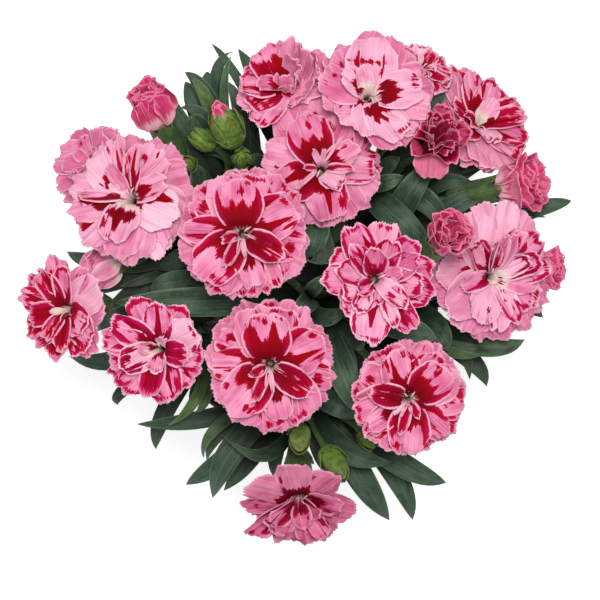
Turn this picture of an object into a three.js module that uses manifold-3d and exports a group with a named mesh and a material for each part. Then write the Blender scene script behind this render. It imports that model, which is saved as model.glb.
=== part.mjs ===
// Potted carnation (a double pot dianthus) in full bloom, in its nursery pot.
// Millimetres, +Z up, origin at the middle of the pot's base.
import * as THREE from 'three';
import { mergeVertices } from 'three/addons/utils/BufferGeometryUtils.js';
import Module from 'manifold-3d';

const wasm = await Module();
wasm.setup();

// ---------------------------------------------------------------- driving dimensions
const GAP = 0.3; // clearance kept between pieces that touch

// nursery pot
const POT_HEIGHT = 96;
const POT_RIM_RADIUS = 56;
const POT_LIP_HEIGHT = 12;
const POT_LIP_STEP = 1.8; // how far the lip stands out from the wall
const POT_LIP_TAPER = 0.6;
const POT_BASE_RADIUS = 40;
const POT_WALL = 1.6;
const POT_FLOOR = 1.8;
const POT_SIDES = 32;
const DRAIN_HOLES = 6;
const DRAIN_HOLE_RADIUS = 3.5;
const DRAIN_HOLE_SIDES = 8;
const DRAIN_RING_RADIUS = 27;

// potting soil
const SOIL_EDGE_HEIGHT = 82; // height of the soil where it meets the pot wall
const SOIL_CROWN = 5; // how much higher the soil is in the middle
const SOIL_MOUND = [0.62, 0.6]; // radius and height shares of the shoulder of the mound
const SOIL_TOP = 0.3; // radius share of its flat top
const SOIL_LUMP = 0.8;
const SOIL_LUMPS_ROUND = 7;
const SOIL_SIDES = 24;

// stems
const STEM_SIDES = 5;
const STEM_STEPS = 5;
const MAIN_STEM_RADIUS = 2.2;
const BRANCH_RADIUS = 1.5;
const BUD_STALK_RADIUS = 1.2;
const STEM_FOOT_HEIGHT = 76; // inside the soil
const FORK_OVERLAP = 0.97; // a stalk starts this far up its main stem
const STALK_PULL = 0.35; // share of a stalk that leaves and arrives straight

// open blooms
const CALYX_LENGTH = 20;
const CALYX_MOUTH_RADIUS = 5;
const CALYX_SIDES = 10;
const CALYX_TOOTH = 1.2;
const CALYX_TEETH = 5;
const PETAL_LOBES = 9;
const RUFFLE = 0.05; // depth of the petal edge's ruffles, as a share of the radius
const BLOOM_DEPTH = 12; // calyx mouth to the face of a bloom whose radius is BLOOM_NOMINAL
const BLOOM_NOMINAL = 22;
const SMALLEST_DEPTH = 0.7; // small blooms are no shallower than this share of BLOOM_DEPTH
const SMALLEST_CALYX = 0.75; // and their calyx no shorter than this share of CALYX_LENGTH

// opening blooms and buds
const TUFT_SIDES = 12;
const TUFT_LOBES = 6;
const BUD_SIDES = 10;

// leaves
const LEAF_STEPS = 4;
const LEAF_THICKNESS = 1.2;
const LEAF_FOLD = 0.32; // rise of the leaf edges over the midrib, as a share of half width
const LEAF_BASE_WIDTH = 0.5; // shares of the full width
const LEAF_TIP_WIDTH = 0.1;
const LEAF_WIDEST_AT = 0.4;
const LEAF_CLEARANCE = 1; // kept free round each leaf by the leaves of other shoots
const LEAF_KEEP_SHARE = 0.7; // a leaf cut down past this share of itself is left out
const TWIN_KEEP_SHARE = 0.985;
const TWIN_REACH = 0.75; // leaves grow in pairs; the twin points the other way, this much as far
const TWIN_DROP = 12; // and its tip hangs this much lower

// ---------------------------------------------------------------- the plant, piece by piece
// Flower heads: centre of the face, tilt of the axis from upright, compass direction it leans to
// (0 = +X, 90 = +Y), radius of the petals. Kinds: bloom is fully open, opening shows a
// short tuft of petals in its calyx.
const HEADS = [
  { name: '01', shoot: 'west_upper', kind: 'bloom', at: [-63.5, 35.6, 182], tilt: 24, lean: 150, radius: 25.3 },
  { name: '02', shoot: 'centre', kind: 'bloom', at: [-20, 21, 208], tilt: 5, lean: 134, radius: 24.8 },
  { name: '03', shoot: 'north', kind: 'bloom', at: [9, 46, 187], tilt: 12, lean: 80, radius: 22.6 },
  { name: '04', shoot: 'north_east', kind: 'bloom', at: [27, 73, 193], tilt: 20, lean: 68, radius: 23.7 },
  { name: '05', shoot: 'north', kind: 'bloom', at: [-5, 77, 182], tilt: 30, lean: 105, radius: 19.2 },
  { name: '06', shoot: 'north_east', kind: 'bloom', at: [47.5, 85.5, 169], tilt: 42, lean: 62, radius: 12.7 },
  { name: '07', shoot: 'north_east', kind: 'bloom', at: [51, 56.3, 184], tilt: 20, lean: 48, radius: 12.1 },
  { name: '08', shoot: 'east_upper', kind: 'bloom', at: [69.5, 64, 163], tilt: 42, lean: 42, radius: 19.9 },
  { name: '09', shoot: 'east_upper', kind: 'opening', at: [85.5, 40.5, 166], tilt: 66, lean: 12, radius: 10.3 },
  { name: '10', shoot: 'east', kind: 'opening', at: [55.8, 21.8, 203], tilt: 33, lean: 42, radius: 8.6 },
  { name: '11', shoot: 'east', kind: 'bloom', at: [74, 6, 176], tilt: 20, lean: 5, radius: 24.8 },
  { name: '12', shoot: 'east', kind: 'opening', at: [97, 8.5, 150], tilt: 72, lean: 4, radius: 8.8 },
  { name: '13', shoot: 'centre', kind: 'bloom', at: [28.6, 4.3, 209], tilt: 5, lean: 8, radius: 21.5 },
  { name: '14', shoot: 'centre', kind: 'bloom', at: [41.6, -39.8, 195], tilt: 14, lean: -44, radius: 22.3 },
  { name: '15', shoot: 'centre', kind: 'bloom', at: [-10, -27, 207], tilt: 5, lean: -110, radius: 24.8 },
  { name: '16', shoot: 'west', kind: 'bloom', at: [-51, -21.5, 192], tilt: 18, lean: -158, radius: 20.6 },
  { name: '17', shoot: 'west', kind: 'bloom', at: [-88, -7, 171], tilt: 36, lean: 184, radius: 20.4 },
  { name: '18', shoot: 'west_upper', kind: 'opening', at: [-76.5, 6.5, 160], tilt: 70, lean: 208, radius: 8 },
  { name: '19', shoot: 'south', kind: 'bloom', at: [1, -79.8, 170], tilt: 38, lean: -89, radius: 21.2 },
  { name: '20', shoot: 'north_west', kind: 'opening', at: [-54.5, 70.5, 170], tilt: 52, lean: 115, radius: 9.5 },
  { name: '21', shoot: 'west_upper', kind: 'bloom', at: [-81.5, 50, 156], tilt: 52, lean: 149, radius: 17.1 },
];

// Closed buds: middle of the bud, length and radius.
const BUDS = [
  { name: '1', shoot: 'north_west', at: [-26, 61, 172], tilt: 52, lean: 115, length: 19, radius: 6.2 },
  { name: '2', shoot: 'north_west', at: [-35, 56, 164], tilt: 50, lean: 150, length: 13, radius: 3.7 },
  { name: '3', shoot: 'north_west', at: [-20, 49, 172], tilt: 8, lean: 112, length: 12, radius: 3.3 },
  { name: '4', shoot: 'west_upper', at: [-40, 47, 168], tilt: 15, lean: 130, length: 9, radius: 2.6 },
  { name: '5', shoot: 'south', at: [1, -54, 170], tilt: 38, lean: -90, length: 15, radius: 4.2 },
  { name: '6', shoot: 'south', at: [14, -64, 163], tilt: 48, lean: -58, length: 17, radius: 4.8 },
  { name: '7', shoot: 'south', at: [26, -55, 158], tilt: 45, lean: -50, length: 12, radius: 3.2 },
];

// Shoots: where each leaves the soil, where it forks, and its leaves. A leaf is given by how
// far up the main stem it grows (0 foot, 1 fork), the point its curve is pulled towards, its tip
// and its full width.
const SHOOTS = [
  {
    name: 'west_upper',
    foot: [-11, 6],
    fork: [-35, 20, 126],
    leaves: [
      { up: 0.95, bend: [-39, 14, 174], tip: [-52, 8, 152], width: 7 },
      { up: 0.7, bend: [-78, 7, 154], tip: [-87, 15, 140], width: 6 },
      { up: 0.85, bend: [-53, 6, 164], tip: [-75, -11, 134], width: 9 },
      { up: 0.95, bend: [-33, 43, 154], tip: [-39, 48, 156], width: 6 },
    ],
  },
  {
    name: 'north_west',
    foot: [-6, 11],
    fork: [-24, 36, 128],
    leaves: [
      { up: 0.95, bend: [-42, 55, 165], tip: [-50, 76, 158], width: 8 },
      { up: 0.75, bend: [-36, 67, 158], tip: [-42, 79, 144], width: 9 },
      { up: 0.6, bend: [-41, 87, 159], tip: [-24, 90, 146], width: 5 },
      { up: 0.45, bend: [-49, 50, 136], tip: [-59, 57, 124], width: 7 },
      { up: 0.85, bend: [-35, 77, 145], tip: [-34, 83, 142], width: 7 },
    ],
  },
  {
    name: 'north',
    foot: [0, 13],
    fork: [2, 40, 128],
    leaves: [
      { up: 0.9, bend: [-21, 82, 161], tip: [-32, 93, 148], width: 3.6 },
      { up: 0.95, bend: [-11, 75, 160], tip: [-22, 91, 148], width: 6.5 },
      { up: 0.6, bend: [-9, 79, 140], tip: [-14, 90, 132], width: 6 },
      { up: 0.95, bend: [13, 21, 213], tip: [1, 11, 172], width: 9 },
    ],
  },
  {
    name: 'north_east',
    foot: [8, 10],
    fork: [25, 40, 130],
    leaves: [
      { up: 1, bend: [32, 29, 195], tip: [51, 15, 160], width: 9.5 },
      { up: 0.9, bend: [50, 68, 172], tip: [58, 81, 160], width: 6 },
      { up: 0.65, bend: [56, 71, 147], tip: [59, 78, 132], width: 7 },
      { up: 0.95, bend: [51, 42, 185], tip: [56, 19, 152], width: 8 },
    ],
  },
  {
    name: 'east_upper',
    foot: [13, 4],
    fork: [38, 24, 126],
    leaves: [
      { up: 1, bend: [35, 31, 187], tip: [51, 49, 162], width: 9 },
      { up: 0.85, bend: [51, 50, 176], tip: [68, 38, 152], width: 6 },
      { up: 0.7, bend: [92, 32, 158], tip: [103, 34, 146], width: 6.5 },
      { up: 0.95, bend: [55, 29, 177], tip: [73, 40, 154], width: 7 },
    ],
  },
  {
    name: 'east',
    foot: [14, -4],
    fork: [38, -4, 124],
    leaves: [
      { up: 0.95, bend: [55, -10, 175], tip: [56, -22, 162], width: 8 },
      { up: 0.8, bend: [71, -28, 173], tip: [85, -18, 152], width: 7.5 },
      { up: 0.65, bend: [71, -22, 154], tip: [72, -36, 136], width: 7 },
      { up: 0.5, bend: [90, 1, 137], tip: [94, -10, 128], width: 7 },
    ],
  },
  {
    name: 'centre',
    foot: [2, -1],
    fork: [4, -2, 128],
    leaves: [
      { up: 0.95, bend: [39, -12, 206], tip: [51, -18, 170], width: 9 },
      { up: 0.85, bend: [16, -28, 197], tip: [23, -45, 162], width: 10 },
      { up: 1, bend: [-28, -4, 198], tip: [-67, -4, 168], width: 10 },
    ],
  },
  {
    name: 'west',
    foot: [-13, -5],
    fork: [-36, -14, 124],
    leaves: [
      { up: 0.9, bend: [-73, -4, 167], tip: [-75, -15, 146], width: 7 },
      { up: 0.7, bend: [-56, -47, 147], tip: [-54, -60, 128], width: 6.5 },
      { up: 0.5, bend: [-70, -33, 138], tip: [-88, -25, 116], width: 7 },
    ],
  },
  {
    name: 'south',
    foot: [0, -14],
    fork: [3, -38, 124],
    leaves: [
      { up: 1, bend: [-27, -64, 163], tip: [-42, -73, 138], width: 7.5 },
      { up: 0.9, bend: [-29, -56, 178], tip: [-32, -78, 138], width: 9 },
      { up: 1, bend: [39, -68, 167], tip: [56, -72, 144], width: 8.5 },
      { up: 0.75, bend: [43, -69, 154], tip: [44, -87, 128], width: 8 },
      { up: 0.85, bend: [22, -68, 162], tip: [35, -87, 132], width: 9.5 },
      { up: 0.95, bend: [-30, -50, 165], tip: [-60, -50, 142], width: 6.5 },
    ],
  },
];

// ---------------------------------------------------------------- materials
const petalPink = { color: 0xf0a0be, roughness: 0.72, metalness: 0 };
const petalCrimson = { color: 0xb81435, roughness: 0.72, metalness: 0 };
const openingPink = { color: 0xe45c8c, roughness: 0.72, metalness: 0 };
const calyxGreen = { color: 0x86a04a, roughness: 0.6, metalness: 0 };
const budGreen = { color: 0x7d9c38, roughness: 0.58, metalness: 0 };
const leafGreen = { color: 0x3f5f4b, roughness: 0.55, metalness: 0 };
const soilBrown = { color: 0x35261c, roughness: 0.96, metalness: 0 };
const potGrey = { color: 0x3a3b3d, roughness: 0.62, metalness: 0 };
const CRIMSON_HEADS = ['07'];

// ---------------------------------------------------------------- helpers
const UP = new THREE.Vector3(0, 0, 1);

function vec(point) {
  return new THREE.Vector3(point[0], point[1], point[2]);
}

// closed solid from a geometry, with its shared corners merged
function solidFrom(geometry) {
  const bare = geometry.clone();
  bare.deleteAttribute('normal');
  bare.deleteAttribute('uv');
  const merged = mergeVertices(bare, 1e-4);
  const source = Array.from(merged.index.array);
  const kept = [];
  for (let i = 0; i < source.length; i += 3) {
    const [a, b, c] = source.slice(i, i + 3);
    if (a !== b && b !== c && c !== a) kept.push(a, b, c);
  }
  const build = (triangles) => new wasm.Manifold(new wasm.Mesh({
    numProp: 3,
    vertProperties: new Float32Array(merged.attributes.position.array),
    triVerts: new Uint32Array(triangles),
  }));
  const solid = build(kept);
  if (solid.volume() > 0) return solid;
  const turned = [];
  for (let i = 0; i < kept.length; i += 3) turned.push(kept[i], kept[i + 2], kept[i + 1]);
  return build(turned);
}

function largestBody(solid) {
  return solid.decompose().sort((a, b) => b.volume() - a.volume())[0];
}

function boxesNear(a, b, reach) {
  const p = a.boundingBox();
  const q = b.boundingBox();
  for (let k = 0; k < 3; k += 1) {
    if (p.min[k] > q.max[k] + reach || q.min[k] > p.max[k] + reach) return false;
  }
  return true;
}

// unit vector of an axis tilted from upright towards a compass direction
function axisOf(tilt, lean) {
  const t = THREE.MathUtils.degToRad(tilt);
  const a = THREE.MathUtils.degToRad(lean);
  return new THREE.Vector3(Math.sin(t) * Math.cos(a), Math.sin(t) * Math.sin(a), Math.cos(t));
}

// stands a lathed geometry (built along +Y) on a point, pointing along an axis
function stand(geometry, foot, axis) {
  const turn = new THREE.Quaternion().setFromUnitVectors(new THREE.Vector3(0, 1, 0), axis);
  return geometry.applyQuaternion(turn).translate(foot.x, foot.y, foot.z);
}

function lathe(profile, sides, shape) {
  const points = profile.map(([r, h]) => new THREE.Vector2(r, h));
  const geometry = new THREE.LatheGeometry(points, sides);
  if (shape) {
    const position = geometry.attributes.position;
    for (let i = 0; i < position.count; i += 1) {
      const x = position.getX(i);
      const z = position.getZ(i);
      const radius = Math.hypot(x, z);
      const row = i % profile.length;
      const [grow, lift] = shape(Math.atan2(z, x), row);
      const factor = radius > 0 ? (radius + grow) / radius : 1;
      position.setXYZ(i, x * factor, position.getY(i) + lift, z * factor);
    }
  }
  return geometry;
}

// ---------------------------------------------------------------- pot and soil
function wallRadius(height) {
  const top = POT_RIM_RADIUS - POT_LIP_STEP - POT_LIP_TAPER;
  const wallTop = POT_HEIGHT - POT_LIP_HEIGHT;
  return POT_BASE_RADIUS + (top - POT_BASE_RADIUS) * Math.min(height / wallTop, 1);
}

function potSolid() {
  const wallTop = POT_HEIGHT - POT_LIP_HEIGHT;
  const profile = [
    [0, 0],
    [POT_BASE_RADIUS, 0],
    [wallRadius(wallTop), wallTop],
    [POT_RIM_RADIUS - POT_LIP_TAPER, wallTop],
    [POT_RIM_RADIUS, POT_HEIGHT],
    [POT_RIM_RADIUS - POT_WALL, POT_HEIGHT],
    [wallRadius(wallTop) - POT_WALL, wallTop],
    [wallRadius(POT_FLOOR) - POT_WALL, POT_FLOOR],
    [0, POT_FLOOR],
  ];
  let pot = solidFrom(stand(lathe(profile, POT_SIDES), new THREE.Vector3(), UP));
  for (let k = 0; k < DRAIN_HOLES; k += 1) {
    const angle = (k * 2 * Math.PI) / DRAIN_HOLES;
    const hole = new THREE.CylinderGeometry(DRAIN_HOLE_RADIUS, DRAIN_HOLE_RADIUS, 3 * POT_FLOOR, DRAIN_HOLE_SIDES);
    const at = new THREE.Vector3(Math.cos(angle), Math.sin(angle), 0).multiplyScalar(DRAIN_RING_RADIUS);
    pot = pot.subtract(solidFrom(stand(hole, at, UP)));
  }
  return pot;
}

function soilSolid(feet) {
  const floor = POT_FLOOR + GAP;
  // the pot's inner wall is a polygon, nearest the middle halfway along each side
  const flat = Math.cos(Math.PI / POT_SIDES);
  const inner = (height) => (wallRadius(height) - POT_WALL) * flat - GAP;
  const edge = inner(SOIL_EDGE_HEIGHT);
  const profile = [
    [0, floor],
    [inner(floor), floor],
    [edge, SOIL_EDGE_HEIGHT],
    [SOIL_MOUND[0] * edge, SOIL_EDGE_HEIGHT + SOIL_MOUND[1] * SOIL_CROWN],
    [SOIL_TOP * edge, SOIL_EDGE_HEIGHT + SOIL_CROWN],
    [0, SOIL_EDGE_HEIGHT + SOIL_CROWN],
  ];
  const firstLumpyRow = 3;
  const lastLumpyRow = 4;
  const lumps = (angle, row) => {
    const lumpy = row >= firstLumpyRow && row <= lastLumpyRow;
    return [0, lumpy ? SOIL_LUMP * Math.sin(SOIL_LUMPS_ROUND * angle + row) : 0];
  };
  let soil = solidFrom(stand(lathe(profile, SOIL_SIDES, lumps), new THREE.Vector3(), UP));
  for (const foot of feet) soil = soil.subtract(foot);
  return soil;
}

// ---------------------------------------------------------------- stems
function stemSolid(curve, radius) {
  const ring = new THREE.Shape();
  for (let k = 0; k < STEM_SIDES; k += 1) {
    const angle = (k * 2 * Math.PI) / STEM_SIDES;
    const x = radius * Math.cos(angle);
    const y = radius * Math.sin(angle);
    if (k === 0) ring.moveTo(x, y);
    else ring.lineTo(x, y);
  }
  ring.closePath();
  return solidFrom(new THREE.ExtrudeGeometry(ring, {
    steps: STEM_STEPS,
    extrudePath: curve,
    bevelEnabled: false,
  }));
}

function mainStemCurve(shoot, deeper = 0) {
  const foot = new THREE.Vector3(shoot.foot[0], shoot.foot[1], STEM_FOOT_HEIGHT - deeper);
  const fork = vec(shoot.fork);
  const rise = 0.5 * (fork.z - foot.z);
  const pull = new THREE.Vector3(foot.x, foot.y, foot.z + rise);
  return new THREE.QuadraticBezierCurve3(foot, pull, fork);
}

// stalk from a shoot's fork to the underside of a head
function stalkCurve(shoot, end, axis) {
  const fork = vec(shoot.fork);
  const main = mainStemCurve(shoot);
  const reach = fork.distanceTo(end);
  const start = main.getTangent(1).multiplyScalar(STALK_PULL * reach).add(fork);
  const finish = axis.clone().multiplyScalar(-STALK_PULL * reach).add(end);
  const inside = main.getPoint(FORK_OVERLAP);
  return new THREE.CubicBezierCurve3(inside, start, finish, end);
}

// ---------------------------------------------------------------- flower heads
// Lathe profiles are rows of [radius, height] along the flower's axis, from the bottom middle
// round the outside to the top middle, in shares of the flower's own size.
function bloomSize(head) {
  return head.kind === 'bloom' ? head.radius / BLOOM_NOMINAL : 1;
}

// from the calyx mouth to the face of the flower
function bloomDepth(head) {
  return BLOOM_DEPTH * Math.max(bloomSize(head), SMALLEST_DEPTH);
}

function mouthOf(head) {
  return axisOf(head.tilt, head.lean).multiplyScalar(-bloomDepth(head)).add(vec(head.at));
}

function calyxLength(head) {
  return CALYX_LENGTH * Math.max(bloomSize(head), SMALLEST_CALYX);
}

function stalkEnd(head) {
  const below = calyxLength(head) + 2 * GAP;
  return axisOf(head.tilt, head.lean).multiplyScalar(-below).add(mouthOf(head));
}

function calyxSolid(head, extra) {
  const length = calyxLength(head);
  const mouth = CALYX_MOUTH_RADIUS * (0.8 + 0.2 * Math.min(bloomSize(head), 1)) + extra;
  const profile = [
    [0, -length - extra],
    [0.5 * mouth, -length - extra],
    [0.86 * mouth, -0.82 * length],
    [mouth, -0.35 * length],
    [0.96 * mouth, 0],
    [0, 0],
  ];
  const rimRow = 4;
  const teeth = (angle, row) => [0, row === rimRow ? -CALYX_TOOTH * (0.5 - 0.5 * Math.cos(CALYX_TEETH * angle)) : 0];
  const geometry = lathe(profile, CALYX_SIDES, teeth);
  const foot = axisOf(head.tilt, head.lean).multiplyScalar(-GAP).add(mouthOf(head));
  return solidFrom(stand(geometry, foot, axisOf(head.tilt, head.lean)));
}

// open bloom: wide ruffled collar with a smaller ruffled ring standing on it
function bloomSolid(head, extra) {
  const radius = head.radius + extra;
  const depth = bloomDepth(head);
  const throat = 0.8 * CALYX_MOUTH_RADIUS * Math.max(bloomSize(head), 0.8);
  const ruffle = RUFFLE * radius;
  const profile = [
    [0, -extra],
    [throat + extra, -extra],
    [0.5 * radius, 0.34 * depth - extra],
    [0.95 * radius, 0.72 * depth],
    [0.64 * radius, depth + extra],
    [0.5 * radius, 1.3 * depth + extra],
    [0.2 * radius, 1.1 * depth + extra],
    [0, depth + extra],
  ];
  const rimRow = 3;
  const ringRow = 5;
  const ruffles = (angle, row) => {
    const wave = Math.cos(PETAL_LOBES * angle);
    if (row === rimRow) return [ruffle * wave, 0.6 * ruffle * Math.sin(3 * angle)];
    if (row === ringRow) return [-ruffle * wave, 0.5 * ruffle * Math.sin(2 * angle)];
    return [0, 0];
  };
  const geometry = lathe(profile, 2 * PETAL_LOBES, ruffles);
  return solidFrom(stand(geometry, mouthOf(head), axisOf(head.tilt, head.lean)));
}

// opening bloom: a tuft of petals spreading from the calyx
function tuftSolid(head, extra) {
  const radius = head.radius + extra;
  const profile = [
    [0, -extra],
    [0.44 * radius, -extra],
    [0.78 * radius, 0.45 * BLOOM_DEPTH],
    [0.94 * radius, 0.95 * BLOOM_DEPTH],
    [0.5 * radius, 1.3 * BLOOM_DEPTH + extra],
    [0, 1.2 * BLOOM_DEPTH + extra],
  ];
  const rimRow = 3;
  const ruffles = (angle, row) => [row === rimRow ? RUFFLE * radius * Math.cos(TUFT_LOBES * angle) : 0, 0];
  const geometry = lathe(profile, TUFT_SIDES, ruffles);
  return solidFrom(stand(geometry, mouthOf(head), axisOf(head.tilt, head.lean)));
}

function corollaSolid(head, extra) {
  return head.kind === 'bloom' ? bloomSolid(head, extra) : tuftSolid(head, extra);
}

function budSolid(bud, extra) {
  const radius = bud.radius + extra;
  const half = bud.length / 2;
  const profile = [
    [0, -half - extra],
    [0.42 * radius, -half - extra],
    [0.86 * radius, -0.62 * half],
    [radius, 0],
    [0.66 * radius, 0.62 * half],
    [0.16 * radius, half + extra],
    [0, half + extra],
  ];
  return solidFrom(stand(lathe(profile, BUD_SIDES), vec(bud.at), axisOf(bud.tilt, bud.lean)));
}

function budStalkEnd(bud) {
  return axisOf(bud.tilt, bud.lean).multiplyScalar(-bud.length / 2 - GAP).add(vec(bud.at));
}

// ---------------------------------------------------------------- leaves
function leafWidthShare(t) {
  if (t < LEAF_WIDEST_AT) {
    const s = t / LEAF_WIDEST_AT;
    return LEAF_BASE_WIDTH + (1 - LEAF_BASE_WIDTH) * s * (2 - s);
  }
  const s = (t - LEAF_WIDEST_AT) / (1 - LEAF_WIDEST_AT);
  return 1 - (1 - LEAF_TIP_WIDTH) * s * s;
}

// keeled strap: a four-sided column flattened, folded along its midrib and bent on a curve
function leafSolid(base, leaf, extra) {
  const tip = vec(leaf.tip);
  const curve = new THREE.QuadraticBezierCurve3(base, vec(leaf.bend), tip);
  const away = new THREE.Vector3(tip.x - base.x, tip.y - base.y, 0).normalize();
  const side = new THREE.Vector3().crossVectors(UP, away);
  const longer = extra / base.distanceTo(tip);
  const geometry = new THREE.CylinderGeometry(1, 1, 1, 4, LEAF_STEPS);
  const position = geometry.attributes.position;
  for (let i = 0; i < position.count; i += 1) {
    const t = 0.5 + (1 + 2 * longer) * position.getY(i);
    const across = position.getX(i);
    const thick = position.getZ(i);
    const half = 0.5 * leaf.width * leafWidthShare(t) + extra;
    const heart = curve.getPoint(t);
    const tangent = curve.getTangent(THREE.MathUtils.clamp(t, 0, 1));
    const normal = new THREE.Vector3().crossVectors(tangent, side).normalize();
    const body = 0.5 * LEAF_THICKNESS * (1 - 0.5 * t) + extra;
    const lift = LEAF_FOLD * half * Math.abs(across) + body * thick;
    heart.addScaledVector(side, half * across).addScaledVector(normal, lift);
    position.setXYZ(i, heart.x, heart.y, heart.z);
  }
  return solidFrom(geometry);
}

// the leaf that faces a given one across the stem
function twinOf(base, leaf) {
  const across = (point, drop) => [
    base.x + TWIN_REACH * (base.x - point[0]),
    base.y + TWIN_REACH * (base.y - point[1]),
    base.z + TWIN_REACH * (point[2] - base.z) - drop,
  ];
  return { bend: across(leaf.bend, 0), tip: across(leaf.tip, TWIN_DROP), width: leaf.width };
}

// ---------------------------------------------------------------- assembly
const group = new THREE.Group();
group.name = 'potted_carnation';

function addPiece(name, solid, look) {
  const mesh = solid.getMesh();
  const geometry = new THREE.BufferGeometry();
  geometry.setAttribute('position', new THREE.BufferAttribute(new Float32Array(mesh.vertProperties), 3));
  geometry.setIndex(Array.from(mesh.triVerts));
  geometry.computeVertexNormals();
  const piece = new THREE.Mesh(geometry, new THREE.MeshStandardMaterial(look));
  piece.name = name;
  group.add(piece);
}

// everything a later piece has to stay clear of: { owner, solid grown by the clearance }
const taken = [];

function clearedOf(solid, owner) {
  let left = solid;
  for (const other of taken) {
    if (other.owner === owner || !boxesNear(left, other.grown, 0)) continue;
    left = left.subtract(other.grown);
    if (left.isEmpty()) return null;
  }
  return largestBody(left);
}

const potBody = potSolid();
const headPieces = [];
for (const head of HEADS) {
  headPieces.push({ name: `calyx_${head.name}`, solid: calyxSolid(head, 0), look: calyxGreen });
  taken.push({ owner: 'heads', grown: calyxSolid(head, GAP) });
  let look = head.kind === 'bloom' ? petalPink : openingPink;
  if (CRIMSON_HEADS.includes(head.name)) look = petalCrimson;
  headPieces.push({ name: `petals_${head.name}`, solid: corollaSolid(head, 0), look });
  taken.push({ owner: 'heads', grown: corollaSolid(head, GAP) });
}
for (const bud of BUDS) {
  headPieces.push({ name: `bud_${bud.name}`, solid: budSolid(bud, 0), look: budGreen });
  taken.push({ owner: 'heads', grown: budSolid(bud, GAP) });
}

const feet = [];
const plants = SHOOTS.map((shoot) => {
  const main = mainStemCurve(shoot);
  let stems = stemSolid(main, MAIN_STEM_RADIUS);
  let grown = stemSolid(main, MAIN_STEM_RADIUS + GAP);
  feet.push(stemSolid(mainStemCurve(shoot, GAP), MAIN_STEM_RADIUS + GAP));
  const add = (end, axis, radius) => {
    const curve = stalkCurve(shoot, end, axis);
    stems = stems.add(stemSolid(curve, radius));
    grown = grown.add(stemSolid(curve, radius + GAP));
  };
  for (const head of HEADS.filter((one) => one.shoot === shoot.name)) {
    add(stalkEnd(head), axisOf(head.tilt, head.lean), BRANCH_RADIUS);
  }
  for (const bud of BUDS.filter((one) => one.shoot === shoot.name)) {
    add(budStalkEnd(bud), axisOf(bud.tilt, bud.lean), BUD_STALK_RADIUS);
  }
  taken.push({ owner: shoot.name, grown });
  return { shoot, main, stems };
});

for (const plant of plants) {
  let whole = plant.stems;
  for (const given of plant.shoot.leaves) {
    const base = plant.main.getPoint(given.up);
    for (const leaf of [given, twinOf(base, given)]) {
      const full = leafSolid(base, leaf, 0);
      const cut = clearedOf(full, plant.shoot.name);
      const share = leaf === given ? LEAF_KEEP_SHARE : TWIN_KEEP_SHARE;
      if (!cut || cut.volume() < share * full.volume()) continue;
      whole = whole.add(cut);
      taken.push({ owner: plant.shoot.name, grown: leafSolid(base, leaf, LEAF_CLEARANCE) });
    }
  }
  plant.whole = largestBody(whole);
}

addPiece('pot', potBody, potGrey);
addPiece('potting_soil', soilSolid(feet), soilBrown);
for (const plant of plants) addPiece(`shoot_${plant.shoot.name}`, plant.whole, leafGreen);
for (const piece of headPieces) addPiece(piece.name, piece.solid, piece.look);

export default group;
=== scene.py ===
import math
import bpy
import numpy as np
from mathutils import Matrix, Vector
from mathutils.bvhtree import BVHTree


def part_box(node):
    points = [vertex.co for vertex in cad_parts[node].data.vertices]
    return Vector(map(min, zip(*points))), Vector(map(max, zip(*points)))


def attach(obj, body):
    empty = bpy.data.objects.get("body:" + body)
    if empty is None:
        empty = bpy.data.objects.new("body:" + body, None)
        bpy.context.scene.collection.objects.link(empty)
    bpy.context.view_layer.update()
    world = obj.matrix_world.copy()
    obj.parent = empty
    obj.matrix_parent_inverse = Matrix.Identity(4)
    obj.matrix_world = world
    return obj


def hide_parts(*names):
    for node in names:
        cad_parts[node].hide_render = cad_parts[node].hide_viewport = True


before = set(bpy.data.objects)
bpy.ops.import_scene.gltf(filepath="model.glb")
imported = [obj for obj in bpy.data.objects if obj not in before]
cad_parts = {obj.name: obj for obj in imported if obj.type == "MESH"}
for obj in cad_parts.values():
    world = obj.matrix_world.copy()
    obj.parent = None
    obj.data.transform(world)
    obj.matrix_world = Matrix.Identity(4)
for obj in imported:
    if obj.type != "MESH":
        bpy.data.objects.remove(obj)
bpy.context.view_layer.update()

# A potted dianthus: 21 flowers, seven buds and nine leafy shoots over a pot of soil. Each flower, calyx, bud
# and shoot takes its place from its CAD node, and gets petals, marks and leaves as the photo shows them.
for stock in ("Cube", "Light", "Camera"):
    if stock in bpy.data.objects:
        bpy.data.objects.remove(bpy.data.objects[stock])

MM = 0.001  # the plant is worked out in millimetres and turned to metres when a mesh is made
FULL_TURN = 2 * math.pi


# ---------------------------------------------------------------- small maths
def unit(v):
    v = np.asarray(v, float)
    return v / max(np.linalg.norm(v), 1e-9)


def units(rows):
    return rows / np.linalg.norm(rows, axis=1)[:, None]


def smooth(a, b, x):
    t = np.clip((np.asarray(x, float) - a) / (b - a), 0, 1)
    return t * t * (3 - 2 * t)


def layers(*values):
    """Arrays and numbers, spread to one shape and stacked as points or marks."""
    return np.stack(np.broadcast_arrays(*values), -1).astype(float)


def round_rings(radius, height, around):
    """Rings of points round +Z; radius and height are given per ring, or per point of each ring."""
    angle = np.linspace(0, FULL_TURN, around, endpoint=False)
    return layers(radius * np.cos(angle), radius * np.sin(angle), height)


def bezier(points, t):
    """Points of a Bezier curve of any degree at the parameters t."""
    rows = [np.asarray(p, float)[None, :] * np.ones((len(t), 1)) for p in points]
    while len(rows) > 1:
        rows = [rows[i] * (1 - t)[:, None] + rows[i + 1] * t[:, None] for i in range(len(rows) - 1)]
    return rows[0]


def point_on(curve, share):
    return bezier(curve, np.array([share]))[0]


def cad_points(node):
    """A CAD node's corners, in millimetres."""
    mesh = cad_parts[node].data
    co = np.zeros(len(mesh.vertices) * 3, np.float32)
    mesh.vertices.foreach_get("co", co)
    return co.reshape(-1, 3).astype(float) / MM


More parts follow.
